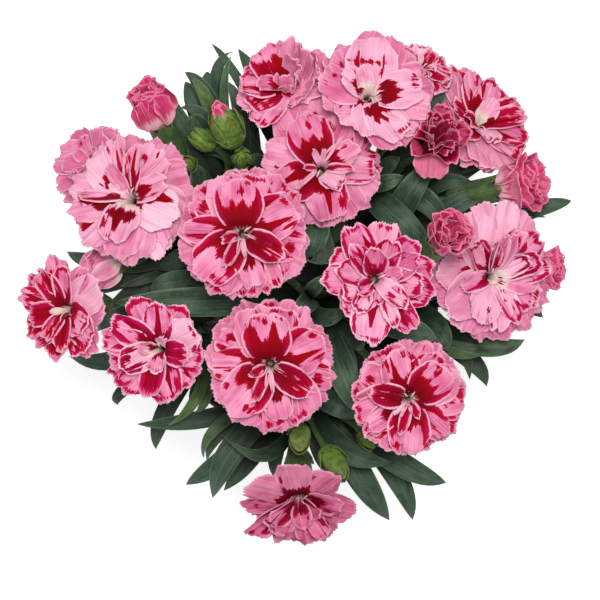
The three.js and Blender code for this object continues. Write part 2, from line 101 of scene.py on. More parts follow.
def from_axis(points, axis):
    """Distance of each point from the axis through the origin."""
    return np.linalg.norm(points - (points @ axis)[:, None] * axis, axis=1)


def seated(flower, local):
    """Points from a flower's or bud's own axes, with its mouth as origin, to the plant's."""
    return local @ flower["basis"] + flower["mouth"]


# ---------------------------------------------------------------- mesh building
class Build:
    """Gathers grids of points into one mesh. A point is ten numbers: where it is (three), its place on the
    petal, leaf or stem and its mark (three each), and its throat, for the materials."""

    def __init__(self):
        self.points, self.faces, self.count = [], [], 0

    def add(self, points, faces):
        self.points.append(points)
        self.faces += [tuple(i + self.count for i in f) for f in faces]
        self.count += len(points)

    def sheet(self, front, back, place, mark, mark_back=None, throat=1.0):
        """Closed thin sheet between two grids of points (rows, columns, 3)."""
        n, m = front.shape[:2]
        idx = np.arange(n * m).reshape(n, m)
        off = n * m
        faces = []
        for i in range(n - 1):
            for j in range(m - 1):
                q = (idx[i, j], idx[i, j + 1], idx[i + 1, j + 1], idx[i + 1, j])
                faces.append(q)
                faces.append(tuple(k + off for k in reversed(q)))
        rim = list(idx[0, :]) + list(idx[1:, -1]) + list(idx[-1, -2::-1]) + list(idx[-2:0:-1, 0])
        for p, q in zip(rim, rim[1:] + rim[:1]):
            faces.append((q, p, p + off, q + off))
        throat = np.broadcast_to(throat, (n, m))[..., None]
        sides = (front, mark), (back, mark if mark_back is None else mark_back)
        points = [np.concatenate([side, place, own, throat], -1).reshape(-1, 10) for side, own in sides]
        self.add(np.concatenate(points), faces)

    def tube(self, rings, place, mark):
        """Closed tube through rings of points (rings, around, 3), capped with a fan at each end."""
        n, m = rings.shape[:2]
        idx = np.arange(n * m).reshape(n, m)
        faces = [(idx[i, j], idx[i, (j + 1) % m], idx[i + 1, (j + 1) % m], idx[i + 1, j])
                 for i in range(n - 1) for j in range(m)]
        first, last = n * m, n * m + 1
        faces += [(first, idx[0, (j + 1) % m], idx[0, j]) for j in range(m)]
        faces += [(last, idx[-1, j], idx[-1, (j + 1) % m]) for j in range(m)]
        points = np.concatenate([rings, place, mark, np.ones((n, m, 1))], -1)
        ends = [np.append(rings[end].mean(0), points[end, 0, 3:]) for end in (0, -1)]
        self.add(np.concatenate([points.reshape(-1, 10), ends]), faces)

    def done(self, name, material, slot, *nodes):
        """Makes the object, with its material, its body and the CAD nodes it stands for."""
        mesh = bpy.data.meshes.new(name)
        points, place, mark, throat = np.split(np.concatenate(self.points), [3, 6, 9], axis=1)
        mesh.from_pydata((points * MM).tolist(), [], self.faces)
        for label, kind, field, values in (("place", "FLOAT_VECTOR", "vector", place),
                                           ("mark", "FLOAT_VECTOR", "vector", mark),
                                           ("throat", "FLOAT", "value", throat)):
            layer = mesh.attributes.new(label, kind, "POINT")
            layer.data.foreach_set(field, values.astype(np.float32).ravel())
        mesh.polygons.foreach_set("use_smooth", [True] * len(mesh.polygons))
        mesh.materials.append(material)
        mesh.update()
        piece = bpy.data.objects.new(name, mesh)
        bpy.context.scene.collection.objects.link(piece)
        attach(piece, "root")
        if nodes:
            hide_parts(*nodes)
        return piece


# ---------------------------------------------------------------- materials
def linear(hex_code):
    """Linear colour from a #rrggbb sRGB code."""
    out = []
    for i in (1, 3, 5):
        c = int(hex_code[i:i + 2], 16) / 255
        out.append(c / 12.92 if c <= 0.04045 else ((c + 0.055) / 1.055) ** 2.4)
    return (*out, 1)


class Shade:
    """A few short words for wiring a procedural material; a colour is a socket or a #rrggbb code. With a
    number_step, noise can follow the place on a petal, leaf or stem, and differs from one to the next."""

    def __init__(self, name, roughness, specular, number_step=0.0):
        self.material = bpy.data.materials.new(name)
        self.material.use_nodes = True
        self.tree = self.material.node_tree
        self.surface = self.tree.nodes["Principled BSDF"]
        self.feed(self.surface, Roughness=roughness, Specular_IOR_Level=specular)
        if number_step:
            self.u, self.v, number = self.split("place")
            self.own = self.maths("MULTIPLY", number, number_step)

    def node(self, kind, **values):
        n = self.tree.nodes.new(kind)
        for k, v in values.items():
            setattr(n, k, v)
        return n

    def wire(self, value, socket):
        if isinstance(value, bpy.types.NodeSocket):
            self.tree.links.new(value, socket)
        else:
            socket.default_value = linear(value) if isinstance(value, str) else value

    def feed(self, node, **inputs):
        """Wires values into a node's inputs; _ stands for the space in a name."""
        for label, value in inputs.items():
            self.wire(value, node.inputs[label.replace("_", " ")])
        return node

    def maths(self, op, a, b=0.0, c=0.0):
        n = self.node("ShaderNodeMath", operation=op)
        for value, socket in zip((a, b, c), n.inputs):
            self.wire(value, socket)
        return n.outputs[0]

    def sway(self, noise, middle, amount, onto):
        """onto, moved by what the noise has above or below its middle."""
        return self.maths("MULTIPLY_ADD", self.maths("SUBTRACT", noise, middle), amount, onto)

    def step(self, low, high, value, to_low=0.0, to_high=1.0):
        n = self.node("ShaderNodeMapRange", interpolation_type="SMOOTHSTEP")
        self.wire(value, n.inputs[0])
        for i, v in enumerate((low, high, to_low, to_high)):
            n.inputs[i + 1].default_value = v
        return n.outputs[0]

    def mix(self, factor, a, b):
        n = self.node("ShaderNodeMix", data_type="RGBA", blend_type="MIX")
        for value, k in ((factor, 0), (a, 6), (b, 7)):
            self.wire(value, n.inputs[k])
        return n.outputs[2]

    def attribute(self, label, output):
        return self.node("ShaderNodeAttribute", attribute_name=label).outputs[output]

    def split(self, label):
        s = self.feed(self.node("ShaderNodeSeparateXYZ"), Vector=self.attribute(label, "Vector"))
        return s.outputs[0], s.outputs[1], s.outputs[2]

    def noise(self, where, scale, detail, rough):
        n = self.node("ShaderNodeTexNoise")
        return self.feed(n, Vector=where, Scale=scale, Detail=detail, Roughness=rough).outputs[0]

    def solid_noise(self, scale, detail, rough):
        return self.noise(self.node("ShaderNodeTexCoord").outputs["Object"], scale, detail, rough)

    def grain(self, across, along, detail, rough):
        """Noise that is stretched along a petal, leaf or stem."""
        x, y = self.maths("MULTIPLY", self.u, across), self.maths("MULTIPLY", self.v, along)
        where = self.feed(self.node("ShaderNodeCombineXYZ"), X=x, Y=y, Z=self.own)
        return self.noise(where.outputs[0], 1.0, detail, rough)

    def finish(self, colour, height=None, depth=0.0, strength=0.0, roughness=None):
        """The material, with its colour and, where they are given, its bumps and its roughness."""
        self.feed(self.surface, Base_Color=colour)
        if roughness is not None:
            self.feed(self.surface, Roughness=roughness)
        if height is not None:
            bump = self.feed(self.node("ShaderNodeBump"), Strength=strength, Distance=depth, Height=height)
            self.feed(self.surface, Normal=bump.outputs[0])
        return self.material


def petal_material(name, colours):
    """place = (across -1..1, along 0..1, petal number); mark = (mm into the crimson, mm from the edge,
    depth of pink -1..1); throat = distance along the petal in units of its cream base."""
    pink, shade, pale, rim, crimson, magenta, cream = colours.split()
    s = Shade(name, roughness=0.68, specular=0.04, number_step=7.31)
    field, edge, tone = s.split("mark")
    throat = s.attribute("throat", "Fac")
    streaks = s.grain(8.5, 1.0, 3.0, 0.62)
    flecks = s.grain(14.0, 9.0, 2.0, 0.6)
    veins = s.grain(19.0, 0.9, 2.0, 0.55)
    clouds = s.grain(1.3, 2.2, 2.0, 0.5)
    torn = s.sway(flecks, 0.48, 3.2, s.sway(streaks, 0.42, 6.5, field))
    inside = s.sway(flecks, 0.5, 1.2, edge)
    mask = s.maths("MULTIPLY", s.step(-0.1, 0.28, torn), s.step(0.5, 1.0, inside))
    ground = s.mix(s.step(0.25, 0.75, clouds), pink, shade)
    ground = s.mix(s.maths("MAXIMUM", tone, 0.0), ground, shade)
    ground = s.mix(s.maths("MAXIMUM", s.maths("MULTIPLY", tone, -1.0), 0.0), ground, pale)
    ground = s.mix(s.step(0.5, 0.74, veins, 0.0, 0.42), ground, shade)
    ground = s.mix(s.step(0.48, 0.28, veins, 0.0, 0.3), ground, pale)
    # a paler rim along the edge: partly the petal's pale margin, partly a painted highlight
    ground = s.mix(s.step(1.1, 0.2, edge, 0.0, 0.5), ground, rim)
    ground = s.mix(s.step(1.2, 0.6, s.sway(streaks, 0.5, 1.3, throat)), ground, cream)
    deep = s.maths("MULTIPLY", s.step(0.1, 1.8, torn), s.step(1.3, 3.2, inside))
    red = s.mix(deep, magenta, crimson)
    red = s.mix(s.step(0.35, 0.8, veins, 0.0, 0.3), red, magenta)
    # painted shade: the crimson darkens towards the throat, deep in the flower
    red = s.mix(s.step(4.2, 1.2, throat, 0.0, 0.55), red, "#52030c")
    height = s.maths("MULTIPLY_ADD", veins, 1.0, s.maths("MULTIPLY", flecks, 0.35))
    return s.finish(s.mix(mask, ground, red), height, 0.00022, 0.55)


def leaf_material(name, deep, green, bloom, edge_colour):
    """place = (across -1..1, along 0..1, leaf number); mark = (youth 0..1, mm from the edge, painted shade
    0..1).
    """
    s = Shade(name, roughness=0.56, specular=0.3, number_step=3.17)
    youth, edge, painted_shade = s.split("mark")
    lines = s.grain(9.0, 1.5, 2.0, 0.6)
    wax = s.grain(1.6, 4.0, 3.0, 0.6)
    fibre = s.grain(16.0, 40.0, 2.0, 0.6)
    colour = s.mix(s.step(0.3, 0.7, wax), deep, green)
    colour = s.mix(s.step(0.52, 0.74, lines, 0.0, 0.4), colour, bloom)
    colour = s.mix(s.step(0.4, 0.75, fibre, 0.0, 0.25), colour, bloom)
    colour = s.mix(s.step(0.07, 0.0, s.maths("ABSOLUTE", s.u), 0.0, 0.3), colour, bloom)
    fresh = s.mix(s.step(0.3, 0.7, wax), "#436a20", "#7d9f34")
    colour = s.mix(youth, colour, fresh)
    colour = s.mix(s.step(0.42, 0.1, edge, 0.0, 0.6), colour, edge_colour)
    # painted shade: leaves low inside the plant go towards near black
    colour = s.mix(s.maths("MULTIPLY", painted_shade, 0.94), colour, "#07100c")
    height = s.maths("MULTIPLY_ADD", lines, 1.0, s.maths("MULTIPLY", fibre, 0.3))
    return s.finish(colour, height, 0.00025, 0.5, s.step(0.2, 0.8, wax, 0.48, 0.66))


def green_material(name, low, high, tip):
    """place = (round 0..1, along 0..1, number); mark = (rib 0..1, how far into the tip colour 0..1, 0)."""
    s = Shade(name, roughness=0.5, specular=0.4, number_step=5.1)
    rib, ripe, _ = s.split("mark")
    lines = s.grain(60.0, 2.0, 2.0, 0.6)
    mottle = s.grain(9.0, 6.0, 3.0, 0.6)
    colour = s.mix(s.step(0.3, 0.7, mottle), low, high)
    colour = s.mix(s.step(0.5, 0.75, lines, 0.0, 0.35), colour, high)
    colour = s.mix(s.maths("MULTIPLY", rib, 0.35), colour, low)
    colour = s.mix(ripe, colour, tip)
    height = s.maths("MULTIPLY_ADD", lines, 0.6, s.maths("MULTIPLY", mottle, 0.5))
    return s.finish(colour, height, 0.0002, 0.5, s.step(0.2, 0.8, mottle, 0.44, 0.58))


def soil_material():
    s = Shade("damp_compost", roughness=0.95, specular=0.2)
    lumps = s.solid_noise(220.0, 6.0, 0.7)
    grit = s.solid_noise(900.0, 3.0, 0.6)
    colour = s.mix(s.step(0.3, 0.7, lumps), "#120d0a", "#33261c")
    colour = s.mix(s.step(0.62, 0.72, grit, 0.0, 0.7), colour, "#5c4b3a")
    height = s.maths("MULTIPLY_ADD", lumps, 1.0, s.maths("MULTIPLY", grit, 0.4))
    return s.finish(colour, height, 0.0015, 0.9)


def pot_material():
    s = Shade("moulded_plastic", roughness=0.55, specular=0.45)
    scuffs = s.solid_noise(42.0, 5.0, 0.7)
    dust = s.solid_noise(160.0, 4.0, 0.65)
    colour = s.mix(s.step(0.35, 0.7, scuffs), "#2c2d2f", "#3c3d40")
    colour = s.mix(s.step(0.58, 0.8, dust, 0.0, 0.35), colour, "#5a544b")
    rough = s.step(0.3, 0.75, scuffs, 0.46, 0.64)
    return s.finish(colour, s.solid_noise(1500.0, 2.0, 0.5), 0.00006, 0.4, rough)


# colours of a petal: pink, shade, pale, rim, crimson, magenta and cream
PINK = petal_material("petal_pale_pink", "#e899b9 #c65a86 #f3c8da #f8c2d2 #8c020c #ae0a3a #e0cdc2")
ROSY = petal_material("petal_rose_pink", "#ea9bbc #c65a88 #f3c8da #facedb #8e0220 #b20e4a #e2d2c8")
DUSK = petal_material("petal_dusky_pink", "#d87b9c #a63f68 #e8a8c0 #e8a4bb #660410 #900e36 #d2b0b0")
HOT = petal_material("petal_deep_pink", "#e2608c #c02f64 #f2a8c0 #ee9ab4 #9c0828 #b81650 #eab0be")
RED = petal_material("petal_crimson", "#c83064 #980e3e #e088aa #f3a6bd #880624 #b20d48 #9c3c5a")
LEAF = leaf_material("leaf_blue_green", "#243b2e", "#405c44", "#6f876c", "#7e937b")
STEM = green_material("stem_waxy", "#2e4a24", "#4a6836", "#5a7636")
CALYX = green_material("calyx_green", "#30482a", "#4f6c34", "#9a5f62")
BUD = green_material("bud_green", "#3f5c26", "#7a9a3a", "#7a3c28")
SOIL = soil_material()
POT = pot_material()

# ---------------------------------------------------------------- petals
PETAL_THICKNESS = 0.22
WIDEST = 0.66  # the share of its length at which a petal is widest
SPOT_DEPTH = 1.6  # how much deeper than an outline a spot's edge cuts
# seeds: a flower or shoot adds its own number
BLOOM_SEED, TUFT_SEED, SHOOT_SEED, BUD_SEED, SOIL_SEED = 100, 300, 500, 700, 9


def marks(start=2.0, outline=((0, 0),), windows=(), spots=()):
    """Where a petal is crimson: from a share of its length (start) out to the shares given across it
    (outline), less pink windows, plus spots. Across runs from -1, the petal's clockwise side, to 1; a
    window or spot is (across, along, half width, half length)."""
    return start, outline, windows, spots


PAINTS = {
    "plain": marks(),
    "fleck": marks(spots=[(0.25, 0.72, 0.14, 0.05), (-0.3, 0.86, 0.07, 0.03)]),
    "bowl": marks(0.12, [(-1, 0.7), (-0.86, 0.8), (-0.7, 0.72), (-0.56, 0.5), (-0.3, 0.45), (-0.15, 0.6),
        (0, 0.55), (0.12, 0.47), (0.3, 0.64), (0.42, 0.48), (0.55, 0.42), (0.68, 0.5), (0.8, 0.8),
        (0.92, 0.82), (1, 0.7)], spots=[(-0.12, 0.78, 0.13, 0.06), (-0.36, 0.9, 0.1, 0.03)]),
    "bar": marks(0.12, [(-1, 0.4), (-0.6, 0.42), (-0.42, 0.5), (-0.32, 0.92), (-0.2, 0.8), (-0.1, 0.46),
        (0.2, 0.42), (0.4, 0.44), (0.55, 0.6), (0.66, 0.84), (0.85, 0.8), (1, 0.6)],
        spots=[(-0.56, 0.82, 0.08, 0.09), (-0.78, 0.86, 0.1, 0.06), (0.42, 0.87, 0.16, 0.05)]),
    "heart": marks(0.16, [(-1, 0.9), (0, 0.93), (1, 0.9)], windows=[(0.28, 0.6, 0.12, 0.05),
        (-0.3, 0.68, 0.1, 0.06), (0.08, 0.24, 0.14, 0.12), (0, 0.86, 0.05, 0.12)]),
    "tongue": marks(0.33, [(-1, 0.86), (-0.8, 0.8), (-0.7, 0.4), (-0.6, 0.3), (-0.5, 0.56), (-0.2, 0.66),
        (0, 0.6), (0.2, 0.68), (0.45, 0.5), (0.55, 0.3), (0.7, 0.6), (0.85, 0.8), (1, 0.7)]),
    "split": marks(0.12, [(-1, 0.6), (-0.85, 0.85), (-0.7, 0.82), (-0.6, 0.5), (-0.42, 0.42),
        (-0.25, 0.46), (-0.1, 0.58), (0.05, 0.53), (0.2, 0.48), (0.35, 0.52), (0.5, 0.58), (0.65, 0.66),
        (0.8, 0.72), (1, 0.6)], spots=[(0.66, 0.84, 0.34, 0.05)]),
    "stripes": marks(0.12, [(-1, 0.5), (-0.85, 0.7), (-0.65, 0.9), (-0.5, 0.75), (-0.4, 0.5),
        (-0.2, 0.45), (0, 0.5), (0.1, 0.6), (0.2, 0.93), (0.3, 0.95), (0.4, 0.7), (0.5, 0.55),
        (0.7, 0.5), (1, 0.5)], windows=[(0.28, 0.75, 0.05, 0.07)], spots=[(0.75, 0.87, 0.15, 0.05)]),
    "marks": marks(spots=[(-0.2, 0.78, 0.28, 0.07), (0.45, 0.72, 0.12, 0.18), (-0.6, 0.66, 0.1, 0.12)]),
    "margin": marks(spots=[(0.3, 0.9, 0.24, 0.045), (-0.4, 0.93, 0.22, 0.03), (-0.8, 0.7, 0.1, 0.12)]),
    "solid": marks(0.14, [(-1, 0.82), (0, 0.88), (1, 0.8)]),
    "flame": marks(0.12, [(-1, 0.86), (-0.7, 0.92), (-0.45, 0.66), (-0.25, 0.9), (0, 0.78), (0.2, 0.93),
        (0.5, 0.7), (0.75, 0.9), (1, 0.8)], windows=[(0.32, 0.6, 0.12, 0.15), (-0.4, 0.56, 0.08, 0.12)]),
    "basin": marks(0.1, [(-1, 0.74), (-0.7, 0.78), (-0.45, 0.64), (-0.2, 0.72), (0, 0.62), (0.25, 0.74),
        (0.5, 0.66), (0.75, 0.78), (1, 0.7)], windows=[(0.1, 0.6, 0.05, 0.1)],
        spots=[(0.3, 0.9, 0.07, 0.04), (-0.5, 0.92, 0.08, 0.03)]),
    "crown": marks(0.12, [(-1, 0.74), (-0.75, 0.5), (-0.5, 0.42), (-0.38, 0.76), (-0.22, 0.82),
        (-0.08, 0.5), (0.15, 0.42), (0.3, 0.46), (0.45, 0.74), (0.7, 0.84), (0.86, 0.7), (1, 0.6)],
        spots=[(0.1, 0.84, 0.12, 0.04), (0.5, 0.93, 0.2, 0.03), (-0.6, 0.9, 0.1, 0.03)]),
    "core": marks(0.2, [(-1, 0.2), (-0.7, 0.3), (-0.45, 0.54), (-0.2, 0.46), (0, 0.6), (0.25, 0.44),
        (0.5, 0.5), (0.8, 0.2)], spots=[(0.45, 0.86, 0.3, 0.03)]),
    "brow": marks(0.1, [(-1, 0.3), (-0.5, 0.36), (0, 0.32), (0.5, 0.38), (1, 0.28)],
        spots=[(0.7, 0.6, 0.05, 0.04)]),
    "lane": marks(0.34, [(-1, 0.2), (-0.5, 0.3), (-0.35, 0.85), (0, 0.92), (0.3, 0.8), (0.45, 0.3),
        (1, 0.2)]),
    "base": marks(0.2, [(-1, 0.5), (-0.5, 0.52), (0, 0.46), (0.4, 0.5), (1, 0.44)],
        spots=[(0.5, 0.7, 0.08, 0.03)]),
    "stem": marks(0.12, [(-1, 0.62), (-0.8, 0.55), (-0.5, 0.46), (-0.1, 0.5), (0.02, 0.9), (0.14, 0.88),
        (0.22, 0.5), (0.6, 0.42), (0.85, 0.66), (1, 0.7)], spots=[(0.65, 0.72, 0.16, 0.1)]),
    "wing": marks(0.12, [(-1, 0.7), (-0.85, 0.84), (-0.6, 0.6), (-0.5, 0.4), (-0.1, 0.44), (0.05, 0.66),
        (0.3, 0.44), (0.6, 0.42), (0.8, 0.7), (1, 0.66)], spots=[(-0.4, 0.88, 0.34, 0.06)]),
    "wedge": marks(0.24, [(-1, 0.24), (-0.5, 0.4), (-0.15, 0.56), (0.15, 0.6), (0.45, 0.44), (0.8, 0.24)],
        spots=[(-0.6, 0.64, 0.05, 0.05)]),
    "tee": marks(0.3, [(-1, 0.3), (-0.7, 0.44), (-0.45, 0.52), (-0.3, 0.78), (-0.1, 0.82), (0, 0.54),
        (0.4, 0.52), (0.7, 0.46), (0.85, 0.3)], spots=[(-0.82, 0.64, 0.12, 0.08),
        (-0.4, 0.88, 0.06, 0.04)]),
    "long": marks(0.3, [(-1, 0.5), (-0.85, 0.85), (-0.6, 0.92), (-0.35, 0.84), (-0.2, 0.3), (1, 0.26)]),
    "streak": marks(0.18, [(-1, 0.2), (0, 0.3), (0.3, 0.5), (0.5, 0.82), (0.62, 0.76), (0.8, 0.4),
        (1, 0.3)]),
    "blotch": marks(0.2, [(-1, 0.2), (-0.7, 0.46), (-0.45, 0.6), (-0.2, 0.46), (0.1, 0.5), (0.4, 0.48),
        (0.6, 0.62), (0.8, 0.72), (1, 0.5)], windows=[(0, 0.24, 0.26, 0.1)],
        spots=[(0.55, 0.76, 0.26, 0.05), (-0.8, 0.7, 0.12, 0.04)]),
    "arc": marks(spots=[(0.5, 0.46, 0.045, 0.14), (0.12, 0.56, 0.32, 0.022), (-0.42, 0.5, 0.04, 0.09)]),
    "rim": marks(0.14, [(-1, 0.56), (-0.6, 0.54), (-0.45, 0.78), (-0.3, 0.6), (-0.1, 0.42), (0.1, 0.3),
        (0.35, 0.34), (0.6, 0.52), (0.75, 0.64), (1, 0.5)], spots=[(0.75, 0.78, 0.14, 0.05),
        (0.5, 0.9, 0.2, 0.04), (-0.2, 0.92, 0.25, 0.04)]),
    "dots": marks(0.14, [(-1, 0.4), (0, 0.32), (1, 0.4)], spots=[(0.3, 0.93, 0.14, 0.045),
        (-0.1, 0.9, 0.12, 0.04), (-0.75, 0.78, 0.1, 0.06)]),
    "side": marks(0.14, [(-1, 0.84), (-0.8, 0.86), (-0.6, 0.5), (-0.3, 0.4), (0, 0.4), (0.3, 0.48),
        (0.5, 0.8), (0.7, 0.78), (1, 0.7)], spots=[(0.1, 0.92, 0.16, 0.03)]),
    "crease": marks(0.16, [(-1, 0.32), (-0.4, 0.38), (-0.2, 0.5), (-0.06, 0.74), (0.06, 0.68),
        (0.2, 0.44), (0.6, 0.4), (0.82, 0.5), (0.9, 0.88), (1, 0.85)], spots=[(-0.85, 0.62, 0.08, 0.04),
        (-0.8, 0.82, 0.1, 0.05), (0.35, 0.94, 0.25, 0.04)]),
    "line": marks(0.12, [(-1, 0.5), (-0.85, 0.55), (-0.7, 0.4), (-0.4, 0.32), (-0.18, 0.38),
        (-0.1, 0.97), (0.1, 0.97), (0.18, 0.42), (0.5, 0.36), (0.75, 0.5), (0.88, 0.9), (1, 0.9)],
        spots=[(0.5, 0.94, 0.3, 0.035)]),
    "jagged": marks(0.14, [(-1, 0.4), (-0.5, 0.36), (-0.2, 0.42), (0.1, 0.46), (0.3, 0.8), (0.6, 0.9),
        (1, 0.9)], spots=[(-0.2, 0.88, 0.1, 0.04), (0.7, 0.84, 0.2, 0.1)]),
}


def oval(across, v, spot, length, half):
    """Millimetres out of (+) or into (-) an oval spot on a petal."""
    middle, along, half_width, half_length = spot
    from_middle = np.hypot((across - middle) / half_width, (v - along) / half_length)
    return (from_middle - 1) * min(half_length * length, half_width * half)


def crimson_field(u, v, length, half, paint, side):
    """Millimetres into (+) or out of (-) the crimson part of a petal."""
    start, outline, windows, spots = PAINTS[paint]
    across = u * side
    field = (np.interp(across, *zip(*outline)) - v) * length
    field = np.minimum(field, (v - start) * length)
    for spot in windows:
        field = np.minimum(field, oval(across, v, spot, length, half))
    for spot in spots:
        field = np.maximum(field, -SPOT_DEPTH * oval(across, v, spot, length, half))
    return field


def petal(build, flower, rng, az, reach, half, lift, base=0.0, paint="plain", side=1, cup=0.0, roll=0.0,
          wave=1.2, curl=0.0, fold=0.0, start=72.0, tone=0.0, root=1.0, bend=0.32, teeth=0.022, blunt=1.0,
          claw=3.0, cream=0.14, arc=0.0, band=0.0, crisp=1.0, grid=(26, 11)):
    """One petal. Its tip lies reach mm from the axis (or its blade is arc mm long), it is half mm wide
    each side, and its blade slopes by lift degrees from base mm above the calyx mouth. It leaves the
    throat at root mm from the axis with the slope start and bends over up to the share bend of its
    length. cup, fold and roll shape it across and curl along; wave and crisp ruffle it; claw, blunt and
    teeth shape its outline. side -1 mirrors its marks, tone is how deep its pink is, cream how far its
    pale base reaches, and a band is a crimson line that many mm wide, just inside its margin."""
    number = rng.uniform(0, 50)
    columns, rows = grid
    u = np.linspace(-1, 1, columns + 1)[None, :]
    v = (np.linspace(0, 1, rows + 1) ** 0.9)[:, None]
    # the petal's side view: it climbs out of the throat and bends over into its blade, and is
    # followed a little past its tip, for the teeth
    fine = np.linspace(0, 1.15, 70)
    slope = np.radians(start + (lift - start) * smooth(0, bend, fine) + curl * smooth(0.45, 1.0, fine))
    out = np.append(0, np.cumsum(np.cos(slope[1:]) * np.diff(fine)))
    up = np.append(0, np.cumsum(np.sin(slope[1:]) * np.diff(fine)))
    tip_out = np.interp(1.0, fine, out)
    length = arc or (reach - root) / tip_out
    # its outline: a narrow claw that widens to two thirds of its length, and a lobed and toothed tip
    narrowing = 1 - (1 - v / WIDEST) ** claw * 0.93
    spread = np.where(v < WIDEST, narrowing, 1 - 0.1 * ((v - WIDEST) / (1 - WIDEST)) ** 2)
    notch = np.where(np.arange(columns + 1) % 2 == 0, 1.0, -1.0)[None, :]
    notch = notch * rng.uniform(0.0, 1, (1, columns + 1)) ** 1.5
    lobes = 0.03 * np.sin(u * rng.uniform(3, 6) + rng.uniform(0, 6)) + 0.014 * np.sin(u * rng.uniform(8, 12))
    rounding = (0.06 * u ** 2 + 0.18 * u ** 4) * blunt * v ** 3
    run = v - rounding + (lobes + teeth * notch * (1 - u ** 6)) * v ** 9
    r = np.interp(run, fine, out) * length
    h = np.interp(run, fine, up) * length
    climb = -1 + (base + 1) * smooth(0, 0.2, v)
    plan = v if arc else (r + root) / (tip_out * length + root)
    # how far it stands off that surface: cupped, folded, waved and crimped
    push = cup * u ** 2 * spread * v + fold * np.abs(u) * half * spread
    phase = rng.uniform(0, 6.28, 3)
    push = push + wave * v ** 2 * (np.sin(u * 3.3 + phase[0]) * 0.6 + np.sin(u * 6.4 + phase[1]) * 0.5)
    crimp = np.sin(u * rng.uniform(8, 11) + 1.2 * v + phase[2])
    crimp = crimp + 0.6 * np.sin(u * rng.uniform(15, 19) - 1.5 * v + phase[0])
    push = push + wave * crisp * crimp * (0.12 * v + 0.4 * v ** 4)
    push = push + 0.34 * wave * v * np.abs(np.sin(u * rng.uniform(5, 8) + phase[1]))
    push = push + 0.3 * wave * v * np.sin(v * 6 + phase[2])
    shrink = 1 / (1 + 0.35 * (abs(fold) + abs(cup) / max(half, 1)))
    ragged = 1 + 0.045 * v * np.sin(v * rng.uniform(7, 12) + phase[0] + 2 * np.sign(u)) * np.abs(u)
    width = half * spread * shrink * ragged
    angle = np.interp(run, fine, slope)
    turn = math.radians(az)
    across = np.array([-math.sin(turn), math.cos(turn), 0])
    away = np.array([math.cos(turn), math.sin(turn), 0])

    def surface(offset):
        px = u * width
        pr = r - np.sin(angle) * (push + offset) + root
        ph = h + np.cos(angle) * (push + offset) + climb
        ph = ph + px * side * math.sin(math.radians(roll)) * smooth(0.1, 0.5, v)
        local = px[..., None] * across + pr[..., None] * away + ph[..., None] * np.array([0, 0, 1.0])
        return seated(flower, local)

    edge = np.minimum((1 - np.abs(u)) * width, (1 - v) * length)
    field = crimson_field(u, plan, length, half, paint, side)
    if band:
        uneven = 0.6 + 0.4 * np.sin(u * rng.uniform(5, 8) + phase[0])
        uneven = uneven + 0.3 * np.sin(v * rng.uniform(8, 12) + phase[1])
        ring = 0.55 * band * uneven - np.abs(edge - 0.7 - 0.5 * band)
        field = np.maximum(field, 2.5 * ring + 3 * (smooth(0.35, 0.7, plan) - 1))
    behind = layers(np.minimum(field - 3.0, -1.5), edge, tone + 0.2)
    build.sheet(surface(0.0), surface(-PETAL_THICKNESS), layers(u, v, number),
                layers(field, edge, tone), behind, plan / cream)


def row(az, reach, half, lift, base, paint="plain", **more):
    return az, reach, half, lift, base, paint, more


# Each flower is its radius and its petals, from the front to the back: azimuth, reach, half width, slope,
# height, paint and what else petal() takes, in mm and degrees. Azimuth 0 is right and 90 up in the photo.
STAR = 24.3, [
    row(94, 19.8, 9.8, 8, 5.4, "bowl", cup=1.8, curl=-4),
    row(108, 22.8, 8.8, 3, 3.8, "fleck", tone=-0.1),
    row(76, 22.4, 8, 4, 3.6, "margin", tone=0.1),
    row(25, 22, 9.2, 5, 4, "bar", cup=0.8, curl=-5),
    row(-31, 18.4, 6.2, 14, 5.6, "heart", cup=2.2, cream=0.24),
    row(-76, 20.8, 5.8, 8, 4.4, "tongue", cream=0.34, curl=-8),
    row(-113, 14.5, 2.8, 24, 5.8, "solid", fold=0.5, roll=-20),
    row(228, 22.6, 9.6, 6, 4.9, "split", cup=1, curl=-6),
    row(178, 21.6, 6.6, 5, 3.9, "stripes", curl=-4),
    row(150, 21.8, 7, 3, 2.9, "marks"),
    row(205, 7.6, 2.6, 42, 6.4, "solid", cup=1, start=60, bend=0.6, tone=-0.2),
    row(-80, 9.5, 1.1, 34, 6.2, fold=0.5, start=60, tone=-0.8),
    row(-98, 8, 0.9, 40, 6.2, fold=0.5, start=60, tone=-0.8),
    row(66, 25.4, 8.6, -2, 2.6, "fleck", wave=1.6),
    row(-12, 23.6, 8.2, 0, 2.6, "marks"),
    row(-60, 24.2, 6.4, 1, 2.6, "margin"),
    row(-84, 23.8, 6.8, 1, 2.4, "margin"),
]
